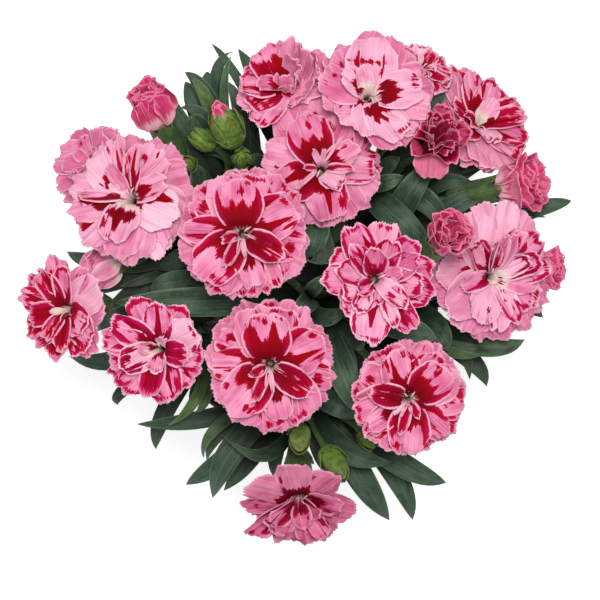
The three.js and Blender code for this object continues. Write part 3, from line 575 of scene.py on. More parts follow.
WHIRL = 21.6, [
    row(120, 25.8, 9.4, 5, 2.6),
    row(90, 26.8, 9.4, 5, 2.4, "fleck", tone=-0.2),
    row(62, 25.4, 9.2, 5, 2.5),
    row(113, 20.2, 9.2, 9, 5.4, "bowl", cup=1.6),
    row(64, 19.4, 7.2, 8, 4.4, "blotch", cream=0.1),
    row(26, 15, 5.6, 22, 5.4, "base", cup=2.6, tone=-0.2),
    row(-3, 20, 6.4, 4, 3.6, "margin", cup=1, tone=-0.2),
    row(-50, 11.4, 5.4, 26, 6, "margin", cup=1.6, start=62, tone=-0.4, cream=0.3),
    row(-12, 12, 2.4, 30, 6.2, "jagged", start=62, fold=0.3, tone=-0.4),
    row(-81, 20.6, 8.6, 5, 4.8, "stem", cup=1, curl=-6),
    row(214, 19.4, 8.4, 7, 4.8, "crown", cup=1.2),
    row(165, 22, 8.2, 3, 3.2, "base", tone=-0.1, cream=0.24),
    row(140, 21.4, 6.4, 2, 2.6, "fleck"),
    row(228, 14.5, 1.1, 30, 7, "margin", fold=0.6, start=62, tone=-0.5),
    row(52, 12.5, 0.7, 30, 7, fold=0.6, start=62, tone=-0.6),
    row(120, 6.5, 1.6, 46, 6.4, cup=1.2, start=62, tone=-0.5),
    row(80, 6, 1.4, 50, 6.4, cup=1.2, start=62, tone=-0.4),
    row(190, 7, 1.8, 40, 5.8, "solid", cup=1.2, start=62),
]
ROSE = 21.6, [
    row(181, 20.8, 7, 4, 3.2, "rim", cup=1.2, band=1.4),
    row(152, 19.4, 6, 4, 2.8, "side", band=1.4, tone=0.1),
    row(118, 22.6, 7.4, 4, 3.4, "rim", cup=1.4, band=1.6),
    row(80, 21.8, 8, 5, 3.2, "dots", cup=1, tone=-0.3),
    row(42, 20.8, 7, 5, 3.6, "side", cup=1, band=1.4),
    row(12, 22.2, 6.6, 4, 3, "margin", band=1.4),
    row(-17, 22.4, 7.4, 4, 3.4, "rim", cup=1, band=1.4),
    row(-54, 24.2, 5.6, 5, 3, "flame", band=1.2),
    row(-97, 24.6, 8.6, 3, 3.4, "crease", cup=0.8, tone=-0.35, band=1.6),
    row(-134, 17.8, 6, 4, 3, "side", band=1.2),
    row(215, 16.2, 6.2, 7, 3.8, "solid", tone=0.3),
    row(206, 14.2, 5.6, 13, 5, "side", cup=-1, tone=-0.4, band=1.4),
    row(165, 15.8, 6.2, 14, 4.8, "rim", cup=2.2, band=1.6, tone=-0.2),
    row(128, 16, 5.4, 18, 4.8, "flame", cup=1.6, fold=0.2),
    row(70, 15.8, 6.6, 18, 4.8, "side", cup=2.4, band=1.2),
    row(28, 17.4, 6.4, 18, 4.8, "base", cup=3.4, tone=0.9, curl=14, band=0.8),
    row(-10, 17.6, 6.6, 14, 4.8, "wing", cup=2.6, curl=10, band=1.6),
    row(-42, 15.4, 5, 20, 5, "margin", cup=1.4, fold=0.3, band=1.2, tone=-0.4),
    row(-69, 19.6, 3.6, 16, 6.4, "rim", fold=0.5, tone=-0.5, root=6),
    row(-122, 14.8, 5.4, 16, 5, "rim", cup=2, band=1.4, tone=-0.5),
    row(100, 12.2, 6.4, 32, 5.2, "side", cup=2.8, fold=0.3, start=60, tone=0.5),
    row(16, 10, 3.6, 28, 5.8, cup=1.6, start=62, tone=0.5),
    row(-35, 10.6, 4.6, 30, 5.2, "rim", cup=2, start=60, band=1.2),
    row(-95, 10.2, 4.6, 28, 5, "margin", cup=2.2, start=60, band=1.2),
    row(215, 9.4, 4.4, 32, 5.4, "rim", cup=2.4, start=60, band=1),
]
FRILL = 20.5, [
    row(90, 18, 6.8, 6, 4.2, "line", cup=1.2, band=1),
    row(117, 21.8, 6.8, 2, 2.8, "rim", band=2),
    row(149, 21.4, 6.4, 6, 3.6, "jagged", side=-1, cup=1.2, band=2.2),
    row(171, 23.2, 6.2, 4, 3.2, "dots", cup=0.8, band=1.2),
    row(203, 15.4, 6.6, 20, 5.2, "marks", cup=2.4, cream=0.3, tone=-0.4, band=1.6),
    row(193, 20.4, 6.2, 6, 3.4, "solid", tone=0.2),
    row(229, 22.2, 7, 3, 2.8, "rim", band=2),
    row(212, 23, 6.4, 2, 2.6, "margin", band=1.6),
    row(257, 18.6, 5.6, 10, 3.8, "solid", fold=0.2, tone=0.9),
    row(-72, 19.8, 6.6, 6, 3.8, "stem", cup=0.8, band=1.2),
    row(-84, 20.8, 7, 0, 2.4, "margin", band=1.6),
    row(-53, 18.2, 6.4, 2, 2.6, "side", band=1.4),
    row(-34, 18.2, 6.6, 2, 2.8, "flame", tone=0.5),
    row(-10, 17.8, 6.4, 4, 3.2, "jagged", tone=0.1, band=1.4),
    row(8, 17.6, 6.4, 2, 2.6, "margin", band=1.6),
    row(-6, 13.4, 6, 18, 5.2, "flame", cup=2.2),
    row(27, 17.6, 8.4, 6, 3.8, "dots", cup=1.2, tone=-0.6),
    row(58, 19, 7.2, 2, 2.6, "margin", band=1.4),
    row(-88, 8.8, 4.2, 30, 6, "dots", cup=1.8, start=64, tone=-0.2),
    row(165, 7, 3, 44, 6, "base", cup=1.6, start=64, cream=0.6),
    row(60, 6.4, 2.8, 46, 6, cup=1.6, start=64, tone=-0.3, cream=0.6),
]
SATIN = 23.7, [
    row(-104, 17.6, 8.4, 12, 5.2, "tee", cup=1.8, curl=-10, cream=0.26),
    row(-138, 22.8, 7.8, 4, 3.8, "long", cream=0.3),
    row(190, 22.8, 6.6, 6, 4.2, "wedge", cup=-1.2, tone=0.1, cream=0.3),
    row(178, 17.4, 2.8, 18, 5.4, "jagged", fold=0.4, cream=0.34),
    row(164, 22.4, 7, 6, 4.4, "blotch", cream=0.38, tone=-0.1),
    row(133, 20.2, 7.6, 8, 4.6, "wedge", cup=1.4, tone=-0.4),
    row(108, 21, 5.2, 10, 4.8, "jagged", cup=1.2, side=-1, tone=-0.2),
    row(95, 22, 3.2, 12, 4.4, "streak", fold=0.4),
    row(73, 18.6, 4.2, 14, 5.2, "stem", cup=1.4),
    row(58, 20.8, 7, 6, 3.8, "fleck", tone=-0.1),
    row(36, 19.6, 4.6, 8, 4.6, "streak", side=-1),
    row(12, 16.6, 5.4, 12, 5.2, "wedge", cup=1.6),
    row(-26, 22, 8.8, 4, 3.8, "streak", tone=-0.6, cup=0.8),
    row(110, 11.6, 3, 42, 6, cup=1.2, start=62, tone=0.2),
    row(-98, 22.6, 9, 0, 2.8, "fleck", tone=0.1),
    row(-62, 25, 8, -6, 2, tone=-0.5),
    row(145, 7, 2, 44, 6, start=62, tone=-0.5),
]
VEIL = 23.7, [
    row(60, 20.4, 9.4, 8, 3.6, tone=0.2),
    row(10, 19.6, 9, 8, 3.4, tone=0.1),
    row(-50, 20, 9, 8, 3.6, tone=0.3),
    row(-105, 21, 9.4, 6, 3.4, tone=0.1),
    row(104, 23.2, 9, 7, 3.8, cup=1.4, tone=0.7),
    row(203, 22, 9.6, 6, 3.8, cup=1.2, tone=0.3),
    row(148, 23, 11.4, 8, 4.6, cup=2, tone=-0.1),
    row(170, 14.6, 7, 22, 5.2, cup=2, tone=0.4),
    row(84, 14.6, 6.8, 22, 5.2, "fleck", cup=2, tone=0.2),
    row(-10, 14, 6.4, 24, 5.2, cup=2, tone=0.4),
    row(-96, 14.2, 6.6, 22, 5.2, "fleck", cup=2, tone=0.3),
    row(120, 9, 4.2, 36, 5.6, cup=1.6, start=62, tone=0.5),
    row(0, 9, 4.2, 36, 5.6, cup=1.6, start=62, tone=0.5),
    row(-120, 9, 4.2, 36, 5.6, cup=1.6, start=62, tone=0.6),
]
FAN = 22.7, [
    row(88, 20.4, 10.6, 10, 4.8, "arc", cup=2.4, tone=-0.4),
    row(79, 24.6, 10.4, 2, 3.2, tone=0.3),
    row(5, 19.2, 8.4, 10, 5, "core", cup=2.2, tone=-0.4, cream=0.18),
    row(116, 0, 4, 36, 5.8, arc=11, cup=1.6, start=60, cream=0.42, tone=-0.3, teeth=0.008, wave=0.6, claw=6),
    row(152, 0, 5.6, 26, 5.4, "wedge", arc=13.6, cup=1.6, tone=-0.5, cream=0.2),
    row(162, 19.4, 8, 6, 3.8, "fleck", side=-1),
    row(128, 20, 7.6, 6, 3.6, "fleck"),
    row(-12, 22.4, 7.6, 2, 3.2, tone=-0.3),
    row(38, 22, 7.6, 2, 3.2),
    row(-58, 20.6, 8, 2, 3.6, "core", tone=-0.5),
    row(-36, 21.4, 7, 0, 3, tone=-0.3),
    row(-92, 16.4, 6.8, 4, 3.4, tone=-0.4),
    row(-136, 15.6, 6.4, 4, 3.4, "wedge", tone=-0.2),
    row(185, 18, 7, 2, 3, tone=0.1),
]
LACE = 23.2, [
    row(62, 25.4, 10, 4, 3.2, wave=1.8, tone=-0.3, cream=0.1),
    row(108, 26, 10.4, 5, 3.4, wave=2, tone=-0.45, cream=0.1),
    row(84, 26.8, 9.6, 7, 3.9, wave=2, tone=-0.6, cup=-0.8, cream=0.1),
    row(132, 15.6, 5.8, 22, 5.2, "rim", cup=2.4, curl=10, band=1.4, tone=-0.3),
    row(112, 12.8, 3.4, 46, 5.8, "side", fold=0.5, start=66),
    row(96, 14.4, 3.2, 48, 5.8, "base", fold=0.5, start=66, tone=0.4),
    row(80, 14.8, 3.6, 44, 5.8, fold=0.4, start=66, tone=0.1),
    row(60, 18.6, 6.4, 16, 4.8, "flame", cup=1.4, cream=0.26),
    row(40, 22.4, 6.8, 10, 4.2, "rim", cup=1.4, band=1.8, cream=0.26),
    row(22, 16.6, 5.2, 28, 5.4, "rim", cup=2, band=1.4, cream=0.3),
    row(8, 20.6, 5.6, 14, 4.6, "margin", cup=1.8, band=1.5, tone=-0.3),
    row(30, 12, 4.4, 40, 5.8, "margin", cup=1.6, band=1.2, cream=0.4, tone=-0.5),
    row(-14, 16.2, 5, 16, 5.2, "streak", fold=0.2, cream=0.34),
    row(-28, 20, 6, 6, 3.8, "margin", tone=-0.4),
    row(-42, 17.6, 6.2, 10, 4.6, "blotch", cup=1.4, side=-1, cream=0.26, band=1.2),
    row(-64, 19.4, 4.6, 10, 4.2, "margin", fold=0.3, band=1, tone=-0.3),
    row(-88, 20.2, 6.2, 8, 4.6, "long", cup=1.2, tone=-0.4, cream=0.24),
    row(-112, 18.4, 7.2, 12, 4.6, "fleck", cup=1.6, tone=-0.4),
    row(-143, 22.6, 8.4, 4, 3.4, tone=-0.2),
    row(176, 21.8, 8.4, 3, 3.2, "wedge", tone=-0.3),
    row(198, 15, 4.2, 16, 4.8, "streak", fold=0.4),
    row(0, 5.6, 3, 30, 5.2, cream=1.7, tone=-0.8, start=50, grid=(12, 8)),
    row(60, 5.6, 3, 34, 5.2, cream=1.7, tone=-0.8, start=50, grid=(12, 8)),
    row(-60, 6.4, 3.2, 28, 5, cream=1.7, tone=-0.8, start=50, grid=(12, 8)),
    row(-110, 5.6, 2.8, 30, 5.2, cream=1.7, tone=-0.8, start=50, grid=(12, 8)),
]
EMBER = 19.4, [
    row(82, 16.8, 5.4, 10, 4.6, "side", cup=1.8, band=1.2, tone=0.2),
    row(120, 17, 5.6, 12, 4.6, "flame", cup=1.8),
    row(136, 19, 5.8, 4, 3.2, "rim", band=1.6),
    row(106, 20.4, 6.2, 4, 3, "fleck", tone=0.1),
    row(165, 19.6, 5.8, 9, 4.2, "flame", cup=1.4),
    row(147, 20, 5.6, 4, 3.4, "stripes", band=1.2),
    row(192, 14.6, 5.2, 15, 4.8, "solid", cup=1.6, tone=0.4),
    row(209, 18.6, 6.2, 6, 3.8, "flame", cup=1.2, band=1.2),
    row(226, 18.2, 5.8, 8, 4.2, "solid", cup=1.4),
    row(257, 19.4, 5.8, 5, 3.4, "solid", cup=1),
    row(242, 12.6, 4.2, 22, 5, "flame", cup=1.6),
    row(-82, 15.6, 5, 16, 4.8, "solid", cup=1.8),
    row(-60, 18.6, 5.8, 4, 3.4, "flame", band=1.2),
    row(-22, 14.6, 7.2, 12, 4.8, "blotch", cup=1.8, band=1.4),
    row(-38, 17.6, 6.6, 5, 3.6, "side", band=1.4),
    row(28, 20.4, 7.8, 4, 3.2, tone=-0.5),
    row(2, 18.4, 7, 2, 2.6, tone=-0.1),
    row(-50, 20.4, 7, -2, 2.4, tone=0.8),
    row(55, 18.8, 6, 3, 3, "fleck", tone=0.1),
    row(190, 5.6, 1.6, 26, 5.8, fold=0.4, cream=0.8, tone=-0.4, grid=(12, 8)),
]
FLOUNCE = 20.5, [
    row(100, 21.4, 7.6, 8, 4.4, "brow", cup=-1, wave=0.8, crisp=0.4, tone=-0.2),
    row(50, 20.4, 7.4, 8, 4.2, "brow", cup=-1, wave=0.8, crisp=0.4, tone=-0.1),
    row(154, 21.8, 8, 6, 4, "brow", cup=-1.4, wave=0.9, crisp=0.4, teeth=0.03, tone=-0.2),
    row(180, 21.8, 5.4, 6, 3.6, "fleck", wave=0.8, crisp=0.4),
    row(4, 16.4, 5.8, 16, 4.8, "wedge", cup=1.4, crisp=0.5),
    row(-12, 21, 7.4, 6, 3.8, tone=0.3, crisp=0.5),
    row(-36, 17.6, 5.8, 8, 3.4, "fleck", tone=0.8),
    row(212, 23.6, 5.6, 10, 3.8, "side", fold=0.3, tone=0.2),
    row(198, 19, 4.6, 4, 3.2, "solid", tone=0.6),
    row(-122, 20.2, 7, 8, 3.6, "lane", cup=1),
    row(-100, 19, 7.4, 8, 3.4, "margin", tone=0.3),
    row(-76, 19.2, 8, 10, 3.8, "fleck", cup=1.2),
    row(-56, 19.6, 7, 10, 3.6, "fleck", tone=0.3),
    row(196, 13.4, 5.4, 32, 5.4, "side", fold=0.5, tone=0.2, wave=1.6),
    row(222, 12.6, 5.2, 34, 5.4, "base", fold=0.4, tone=0.3, cup=1.4, wave=1.6),
    row(-136, 14.4, 5.8, 30, 5, "solid", fold=0.3, tone=0.4, wave=1.6),
    row(-70, 15, 6, 28, 4.8, "base", cup=1.6, tone=0.3, wave=1.8),
    row(-46, 14.6, 5.6, 32, 5.4, "side", fold=0.3, cup=1.2, wave=1.6),
    row(-104, 0, 5.4, 34, 6.2, arc=11, cup=1.6, tone=-0.6, cream=0.3),
    row(-78, 0, 4.6, 48, 6, "base", arc=11, fold=0.4, tone=0.2),
    row(-12, 0, 4.6, 44, 5.6, "side", arc=11, fold=0.4, tone=0.2),
]
TURNED = 19.4, [
    row(118, 16.8, 9.8, 14, 5.2, "basin", cup=3.4),
    row(177, 17.4, 7.4, 6, 4.4, "stripes", cup=1.2, band=1),
    row(148, 17.2, 6, 8, 3.8, "side", band=1.2),
    row(214, 16.6, 6.6, 6, 3.8, "flame", band=1.2),
    row(196, 10.4, 4.8, 26, 5.4, "base", tone=0.7, fold=0.3, cup=1.2),
    row(238, 20.6, 6.6, 2, 3, "margin", band=1),
    row(264, 11, 5.4, 8, 3.6, "wedge"),
    row(262, 0, 4.6, 104, 4.4, arc=8.4, start=84, bend=0.4, cup=1.2, tone=0.1),
    row(124, 18.8, 6.6, 4, 3, "margin", band=1.2),
    row(92, 19.4, 6.4, 8, 3.2, tone=0.1),
    row(66, 0, 6.8, 66, 3.6, arc=20, start=16, bend=0.7, fold=0.2, tone=-0.1),
    row(40, 0, 6.6, 74, 3.8, arc=20, start=10, bend=0.7, fold=0.15),
    row(14, 0, 6.8, 70, 3.8, arc=21, start=8, bend=0.75, fold=0.15, tone=0.2),
    row(-12, 0, 6.6, 66, 3.6, arc=20, start=8, bend=0.75, fold=0.15, tone=-0.2),
    row(52, 0, 5.4, 78, 4.6, arc=15, start=26, bend=0.6, fold=0.2, tone=0.2),
    row(20, 0, 5.6, 80, 4.8, "fleck", arc=15, start=24, bend=0.6, fold=0.2, tone=0.3),
    row(-12, 0, 5.2, 78, 4.8, arc=14, start=26, bend=0.6, fold=0.2, tone=-0.1),
    row(34, 20.4, 7.2, 6, 2.6, tone=0.2),
    row(2, 20.4, 7.4, 4, 2.6, tone=-0.2),
    row(-34, 12, 6, 8, 2.8, tone=-0.2),
    row(-62, 10, 5.2, 10, 3, tone=0.1),
]
SCREEN = 19.0, [
    row(106, 19.6, 7.2, 12, 4.4, "bowl", cup=1.4, tone=-0.1),
    row(76, 18.6, 6.8, 12, 4.8, "side", cup=1.4, band=1.2),
    row(128, 24.4, 7.6, 4, 3, "margin", tone=0.1),
    row(104, 22.8, 7.4, 4, 3.2),
    row(66, 0, 4.4, 38, 6, arc=11, cup=1.2, cream=0.4, tone=-0.3, wave=0.6, teeth=0.008, claw=6),
    row(30, 17, 6, 22, 5, "side", cup=2, fold=0.2, band=1.2),
    row(44, 20, 6.4, 6, 3.4, "flame", band=1.2),
    row(10, 16, 5.6, 28, 5.2, "flame", cup=2.2, fold=0.2),
    row(-10, 18.8, 6.4, 12, 4.4, "rim", cup=1.6, band=1.5),
    row(-32, 19.6, 6.8, 8, 4, "margin", cup=1, band=1.5),
    row(6, 20.8, 7, 2, 2.8, tone=0.1),
    row(-56, 20.8, 7.6, 4, 3.2, tone=-0.3),
    row(-86, 19.6, 7.4, 4, 3.2, tone=-0.2),
    row(-70, 11, 5.4, 26, 5.4, "margin", cup=1.8, band=1.2, tone=-0.4),
    row(200, 9.6, 4.2, 30, 5.4, "solid", fold=0.3),
    row(226, 14.6, 5.6, 12, 4.6, "side", cup=1.2, tone=-0.1),
    row(165, 14, 5.8, 14, 4.6, "flame", cup=1.2),
]
# azimuth and reach of the petals at the back of a flower whose radius is RING_RADIUS
RING = [(160, 24.2), (122, 24.8), (86, 24.4), (48, 24.8), (12, 25.2), (-24, 25.0), (-58, 24.6),
        (-90, 25.2), (-126, 24.6), (196, 24.2)]
RING_RADIUS = 25.0
NO_RING = (-180, 180)
SIDEWAYS = 0.93  # a flower whose axis has more than this along X faces the side


def axes(axis, helper=(1.0, 0, 0)):
    """Rows right, up and axis of a frame whose right leans to the helper."""
    right = unit(np.array(helper) - np.dot(helper, axis) * axis)
    return np.stack([right, np.cross(axis, right), axis])


def flower_of(label):
    """Where a CAD flower stands, from its calyx and petals. origin is the share of the calyx's length at
    which the mouth, the origin of its own axes, lies."""
    calyx, petals = cad_points("calyx_" + label), cad_points("petals_" + label)
    centre = calyx.mean(0)
    axis = unit(petals.mean(0) - centre)
    high = ((petals - centre) @ axis).min()
    low = ((calyx - centre) @ axis).min()
    helper = (0, 0, -1.0) if abs(axis[0]) > SIDEWAYS else (1.0, 0, 0)
    return {"mouth": centre + axis * high, "axis": axis, "foot": centre + axis * low, "length": high - low,
            "radius": from_axis(petals - centre, axis).max(), "origin": 1, "basis": axes(axis, helper)}


def styles(build, flower, rng, size):
    """Two pale threads curling out of the throat."""
    for way in (rng.uniform(0, 360), rng.uniform(0, 360)):
        petal(build, flower, rng, way, 4.4 * size, 0.22, 30, base=5.6 * size, start=76, bend=0.8, wave=0.3,
              curl=-50, cream=0.9, tone=-0.6, root=0.6, grid=(6, 10))


def bloom(label, table, turn=0.0, mirror=False, material=PINK, tone=0.0, marked=0, bare=(0, 0), repaint=()):
    """An open flower: its rows of petals over a back ring of plainer ones. marked is how many in eight of
    the ring have marks, bare is an arc (from, to) that the ring leaves out, and repaint changes paints."""
    flower = flower_of(label)
    rng = np.random.RandomState(BLOOM_SEED + int(label))
    radius, rows = table
    size = flower["radius"] / radius
    full = flower["radius"] / RING_RADIUS
    build = Build()
    way = -1 if mirror else 1
    for az, reach in RING:
        if 0 < (az - bare[0]) % 360 < bare[1] - bare[0]:
            continue
        petal(build, flower, rng, way * az + turn + rng.uniform(-5, 5),
              reach * full * rng.uniform(0.95, 1.03), rng.uniform(9.6, 11.6) * full, rng.uniform(-6, 0),
              base=rng.uniform(2.4, 3.4) * full, side=way, roll=rng.uniform(5, 9),
              wave=rng.uniform(1.5, 2.3) * full, curl=rng.uniform(-14, -2), start=60, blunt=0.6,
              paint=("margin" if rng.randint(8) < marked else "plain"),
              tone=0.1 + tone + rng.uniform(-0.2, 0.3))
    for az, reach, half, lift, base, paint, more in rows:
        more = dict(more, cup=more.get("cup", 0.0) * size, wave=more.get("wave", 1.0) * size,
                    side=more.get("side", 1) * way, tone=more.get("tone", 0.0) + tone)
        petal(build, flower, rng, way * az + turn, reach * size, half * size, lift, base=base * size,
              paint=dict(repaint).get(paint, paint), **more)
    styles(build, flower, rng, size)
    return build.done("bloom_" + label, material, "petal_pink", "petals_" + label)


def tuft(label, around, length, half, material, lean=0.0, tone=0.0, skirt=(), slot="petal_opening",
         paints=("plain",), heart=1.0, close=0.0):
    """An opening flower: broad petals wrapped round a crumpled heart. lean opens it out by degrees; a
    skirt is (azimuth, slope) of wide outer petals that bend outwards; heart is the length of the inner
    petals beside the outer ones, and close how many degrees the outer ones curl inwards."""
    flower = flower_of(label)
    rng = np.random.RandomState(TUFT_SEED + int(label))
    build = Build()
    for az, lift in skirt:
        petal(build, flower, rng, az, 0, half * 1.2, lift, base=0.8, cup=-1.0, arc=length * 0.9, wave=1.0,
              crisp=0.4, start=64, bend=0.3, curl=-36, root=2.6, cream=0.3, tone=tone - 0.6)
    for j in range(around):
        petal(build, flower, rng, 360.0 * j / around + rng.uniform(-9, 9), 0, half * rng.uniform(0.95, 1.08),
              84 - lean + rng.uniform(-4, 4), base=0.3, cup=3.2, arc=length * rng.uniform(0.88, 1.0),
              wave=0.8, crisp=0.3, start=64, bend=0.4, curl=rng.uniform(2, 14) - 0.9 * lean + close,
              root=3.0, roll=rng.uniform(6, 10), cream=0.36, claw=5.0, teeth=0.012,
              paint=paints[rng.randint(len(paints))], tone=tone + rng.uniform(-0.3, 0.1))
    for ring, many in enumerate((6, 5, 4)):
        for j in range(many):
            petal(build, flower, rng, 360.0 * j / many + 31 * ring + rng.uniform(-14, 14), 0,
                  half * (0.8 - 0.1 * ring), 82 + 3 * ring - lean * 0.6 + rng.uniform(-5, 5),
                  base=0.4 * ring, cup=2.4, wave=1.7, crisp=0.35,
                  arc=length * heart * (0.98 + 0.02 * ring) * rng.uniform(0.93, 1.05), start=74, bend=0.6,
                  curl=rng.uniform(-22, 4), root=2.4 - 0.7 * ring, roll=rng.uniform(4, 12),
                  paint=paints[rng.randint(len(paints))], teeth=0.014, fold=rng.uniform(0, 0.2),
                  tone=tone + rng.uniform(0.4, 1.0), grid=(22, 10))
    return build.done("bloom_" + label, material, slot, "petals_" + label)


bloom("01", SATIN, tone=-0.25)
bloom("02", STAR, marked=4)
bloom("03", WHIRL, marked=2)
bloom("04", FAN, bare=(150, 290))
bloom("05", TURNED, bare=(-150, 80))
bloom("06", FRILL, turn=60, tone=-0.2)
tuft("07", 5, 14.6, 5.9, RED, lean=32, skirt=[(264, 10)], slot="petal_crimson",
     paints=("solid", "solid", "side"))
bloom("08", SCREEN)
tuft("09", 5, 17.4, 8.2, HOT, lean=20, tone=-0.1, skirt=[(140, 62), (218, 58)])
tuft("10", 5, 13.4, 7.0, HOT, lean=20)
bloom("11", LACE, material=ROSY)
tuft("12", 5, 14.0, 6.6, HOT, lean=14, tone=-0.3)
bloom("13", ROSE, material=ROSY, bare=NO_RING)
bloom("14", STAR, mirror=True, turn=134, marked=5)
bloom("15", STAR, marked=3, repaint={"bowl": "crown", "split": "blotch"})
bloom("16", FRILL, material=ROSY, bare=NO_RING)
bloom("17", EMBER, bare=NO_RING)
tuft("18", 4, 15.4, 8.4, PINK, tone=-0.2, heart=0.84, close=8)
bloom("19", FLOUNCE, material=DUSK, bare=NO_RING)
tuft("20", 4, 17.0, 9.2, HOT, lean=4, tone=0.35, close=4)
bloom("21", VEIL, tone=0.15)
FLOWERS = 21


# ---------------------------------------------------------------- calyces
TOOTH_HEIGHT = 3.4
SCALE_LENGTHS, SCALE_HALF, SCALE_THICKNESS = (6.5, 5.2), 2.6, 0.3


def scale(build, flower, profile, length, turn, half, low, high, tip, number, stand=0.0):
    """Pointed scale on a body of revolution. It lies on the profile (share of the length, radius), is half
    mm wide each side and runs from low to high, in shares of the length; its tip stands off by stand mm
    and has the tip colour by that share."""
    u = np.linspace(-1, 1, 7)[None, :]
    v = np.linspace(0, 1, 9)[:, None]
    width = half * (0.55 + 0.45 * np.sin(np.clip(v * 2.2, 0, 1.57))) * (1 - v ** 2.6)
    share = low + (high - low) * v
    r = np.interp(share, *zip(*profile)) + SCALE_THICKNESS + (0.4 + stand) * v ** 3
    phi = math.radians(turn) + u * width / np.maximum(r, 1.2)
    h = length * (share - flower["origin"]) - 0.3 * (1 - v)

    def surface(grow):
        out = r + grow + 0.15 * (1 - u ** 2)
        return seated(flower, layers(out * np.cos(phi), out * np.sin(phi), h))

    edge = np.abs(u) ** 4 * 0.6
    mark = layers(1 - edge, tip * v ** 4 + 0.3 * tip * edge, 0)
    build.sheet(surface(SCALE_THICKNESS), surface(0.0), layers(u * 0.2, v, number), mark)


def calyx(number):
    """Ribbed green tube with five pointed teeth round the petals and two pairs of scales at its foot."""
    label = f"{number:02d}"
    flower = flower_of(label)
    wide = from_axis(cad_points("calyx_" + label) - flower["mouth"], flower["axis"]).max()
    length, around = flower["length"], 60
    angle = np.linspace(0, FULL_TURN, around, endpoint=False)
    tooth = (0.5 + 0.5 * np.cos(5 * angle)) ** 0.8
    rib = 0.5 + 0.5 * np.cos(20 * angle)
    t = np.linspace(0, 1, 15)[:, None]
    shape = np.interp(t, [0, 0.05, 0.2, 0.5, 0.8, 1.0], [0.42, 0.62, 0.86, 1.0, 0.99, 1.02])
    heights = -length * (1 - t) + smooth(0.78, 1.0, t) * (TOOTH_HEIGHT * tooth - 0.6)
    radii = wide * shape * (1 + 0.012 * rib) + 0.25 * smooth(0.9, 1.0, t) * tooth
    # the tube turns in at its mouth and goes down a little inside it
    heights = np.vstack([heights, heights[-1] - 0.05, heights[-1] - 3.0])
    radii = np.vstack([radii, radii[-1] - 0.35, radii[-1] - 0.5])
    t = np.vstack([t, [1], [1]])
    build = Build()
    build.tube(seated(flower, round_rings(radii, heights, around)),
               layers(np.linspace(0, 1, around), t, number),
               layers(rib, smooth(0.92, 1.0, t) * tooth * 0.5, 0))
    profile = [(0, 0.44 * wide), (0.05, 0.64 * wide), (0.2, 0.88 * wide), (0.5, 1.02 * wide)]
    for k in range(4):
        high = SCALE_LENGTHS[k % 2] / length
        scale(build, flower, profile, length, 90 * k, SCALE_HALF, 0.0, high, 0.35, number + k)
    build.done("green_cup_" + label, CALYX, "calyx_green", "calyx_" + label)


for number in range(1, FLOWERS + 1):
    calyx(number)


# ---------------------------------------------------------------- buds
BUD_SHAPE = [(0, 0.36), (0.04, 0.55), (0.14, 0.82), (0.3, 0.94), (0.5, 0.97), (0.68, 0.86), (0.82, 0.62),
             (0.92, 0.38), (0.98, 0.16), (1.0, 0.03)]


def bud_of(number):
    """Foot, axis, length and radius of a CAD bud. Its axis is its long one, towards its thin end."""
    points = cad_points(f"bud_{number}")
    centre = points.mean(0)
    axis = np.linalg.eigh(np.cov((points - centre).T))[1][:, -1]
    along = (points - centre) @ axis
    radial = from_axis(points - centre, axis)
    if radial[along > along.max() - 0.01].max() > radial[along < along.min() + 0.01].max():
        axis, along = -axis, -along
    return centre + axis * along.min(), axis, along.max() - along.min(), radial.max()


def bud(number, pink, teeth, scales, brown):
    """Pointed bud: a closed body with ribs, long teeth folded over its tip and pairs of scales at its
    foot. pink is how far the petals show at the tip."""
    foot, axis, length, wide = bud_of(number)
    flower = {"mouth": foot, "axis": axis, "origin": 0, "basis": axes(axis)}
    around, rows = 50, 22
    angle = np.linspace(0, FULL_TURN, around, endpoint=False)
    t = np.linspace(0, 1, rows)[:, None]
    seam = np.abs(np.sin(2.5 * angle + 0.5 * t)) ** 0.5
    radii = wide * np.interp(t, *zip(*BUD_SHAPE)) * (0.9 + 0.06 * seam * (0.4 + 0.6 * t))
    build = Build()
    build.tube(seated(flower, round_rings(radii, length * t * 0.97, around)),
               layers(np.linspace(0, 1, around), t, 40.0 + number),
               layers(1 - seam, 0.5 * brown * smooth(0.8, 1, t), 0))
    profile = [(k, 0.9 * wide * r) for k, r in BUD_SHAPE]
    for k in range(teeth):
        scale(build, flower, profile, length, 360 / teeth * k + 17 * number, 2.9 * wide / teeth, 0.25,
              0.99 - 0.16 * pink, brown, 50 + number + 0.1 * k, 0.3 + 0.3 * pink)
    for k in range(scales):
        scale(build, flower, profile, length, 90 * k + 31 * number, 0.85 * wide, 0.0,
              0.5 - 0.12 * (k // 2), 0.4 * brown, 60 + number + 0.1 * k, 0.5)
    build.done(f"closed_bud_{number}", BUD, "bud_green", f"bud_{number}")
    if pink:
        tip = Build()
        rng = np.random.RandomState(BUD_SEED + number)
        flower["mouth"] = foot + axis * 0.6 * length
        for k in range(5):
            petal(tip, flower, rng, 72 * k + 10, 0, 0.6 * wide, 100, base=0.5, cup=1.6,
                  arc=0.42 * length, wave=0.5, crisp=0.4, start=96, root=0.42 * wide, claw=5, cream=0.1,
                  tone=0.1 * k, grid=(12, 8))
        tip.done(f"bud_petals_{number}", HOT, "petal_opening")


# buds 1 to 7: how much pink shows, long teeth, scales at the foot, how brown the tips are
BUDS = [(1.0, 5, 4, 0.6), (0, 2, 2, 0.3), (0, 5, 4, 0.1), (0, 2, 4, 0.7), (0, 2, 2, 0.35), (0, 2, 4, 0.2),
        (0, 3, 0, 0.1)]
for number, given in enumerate(BUDS, 1):
    bud(number, *given)

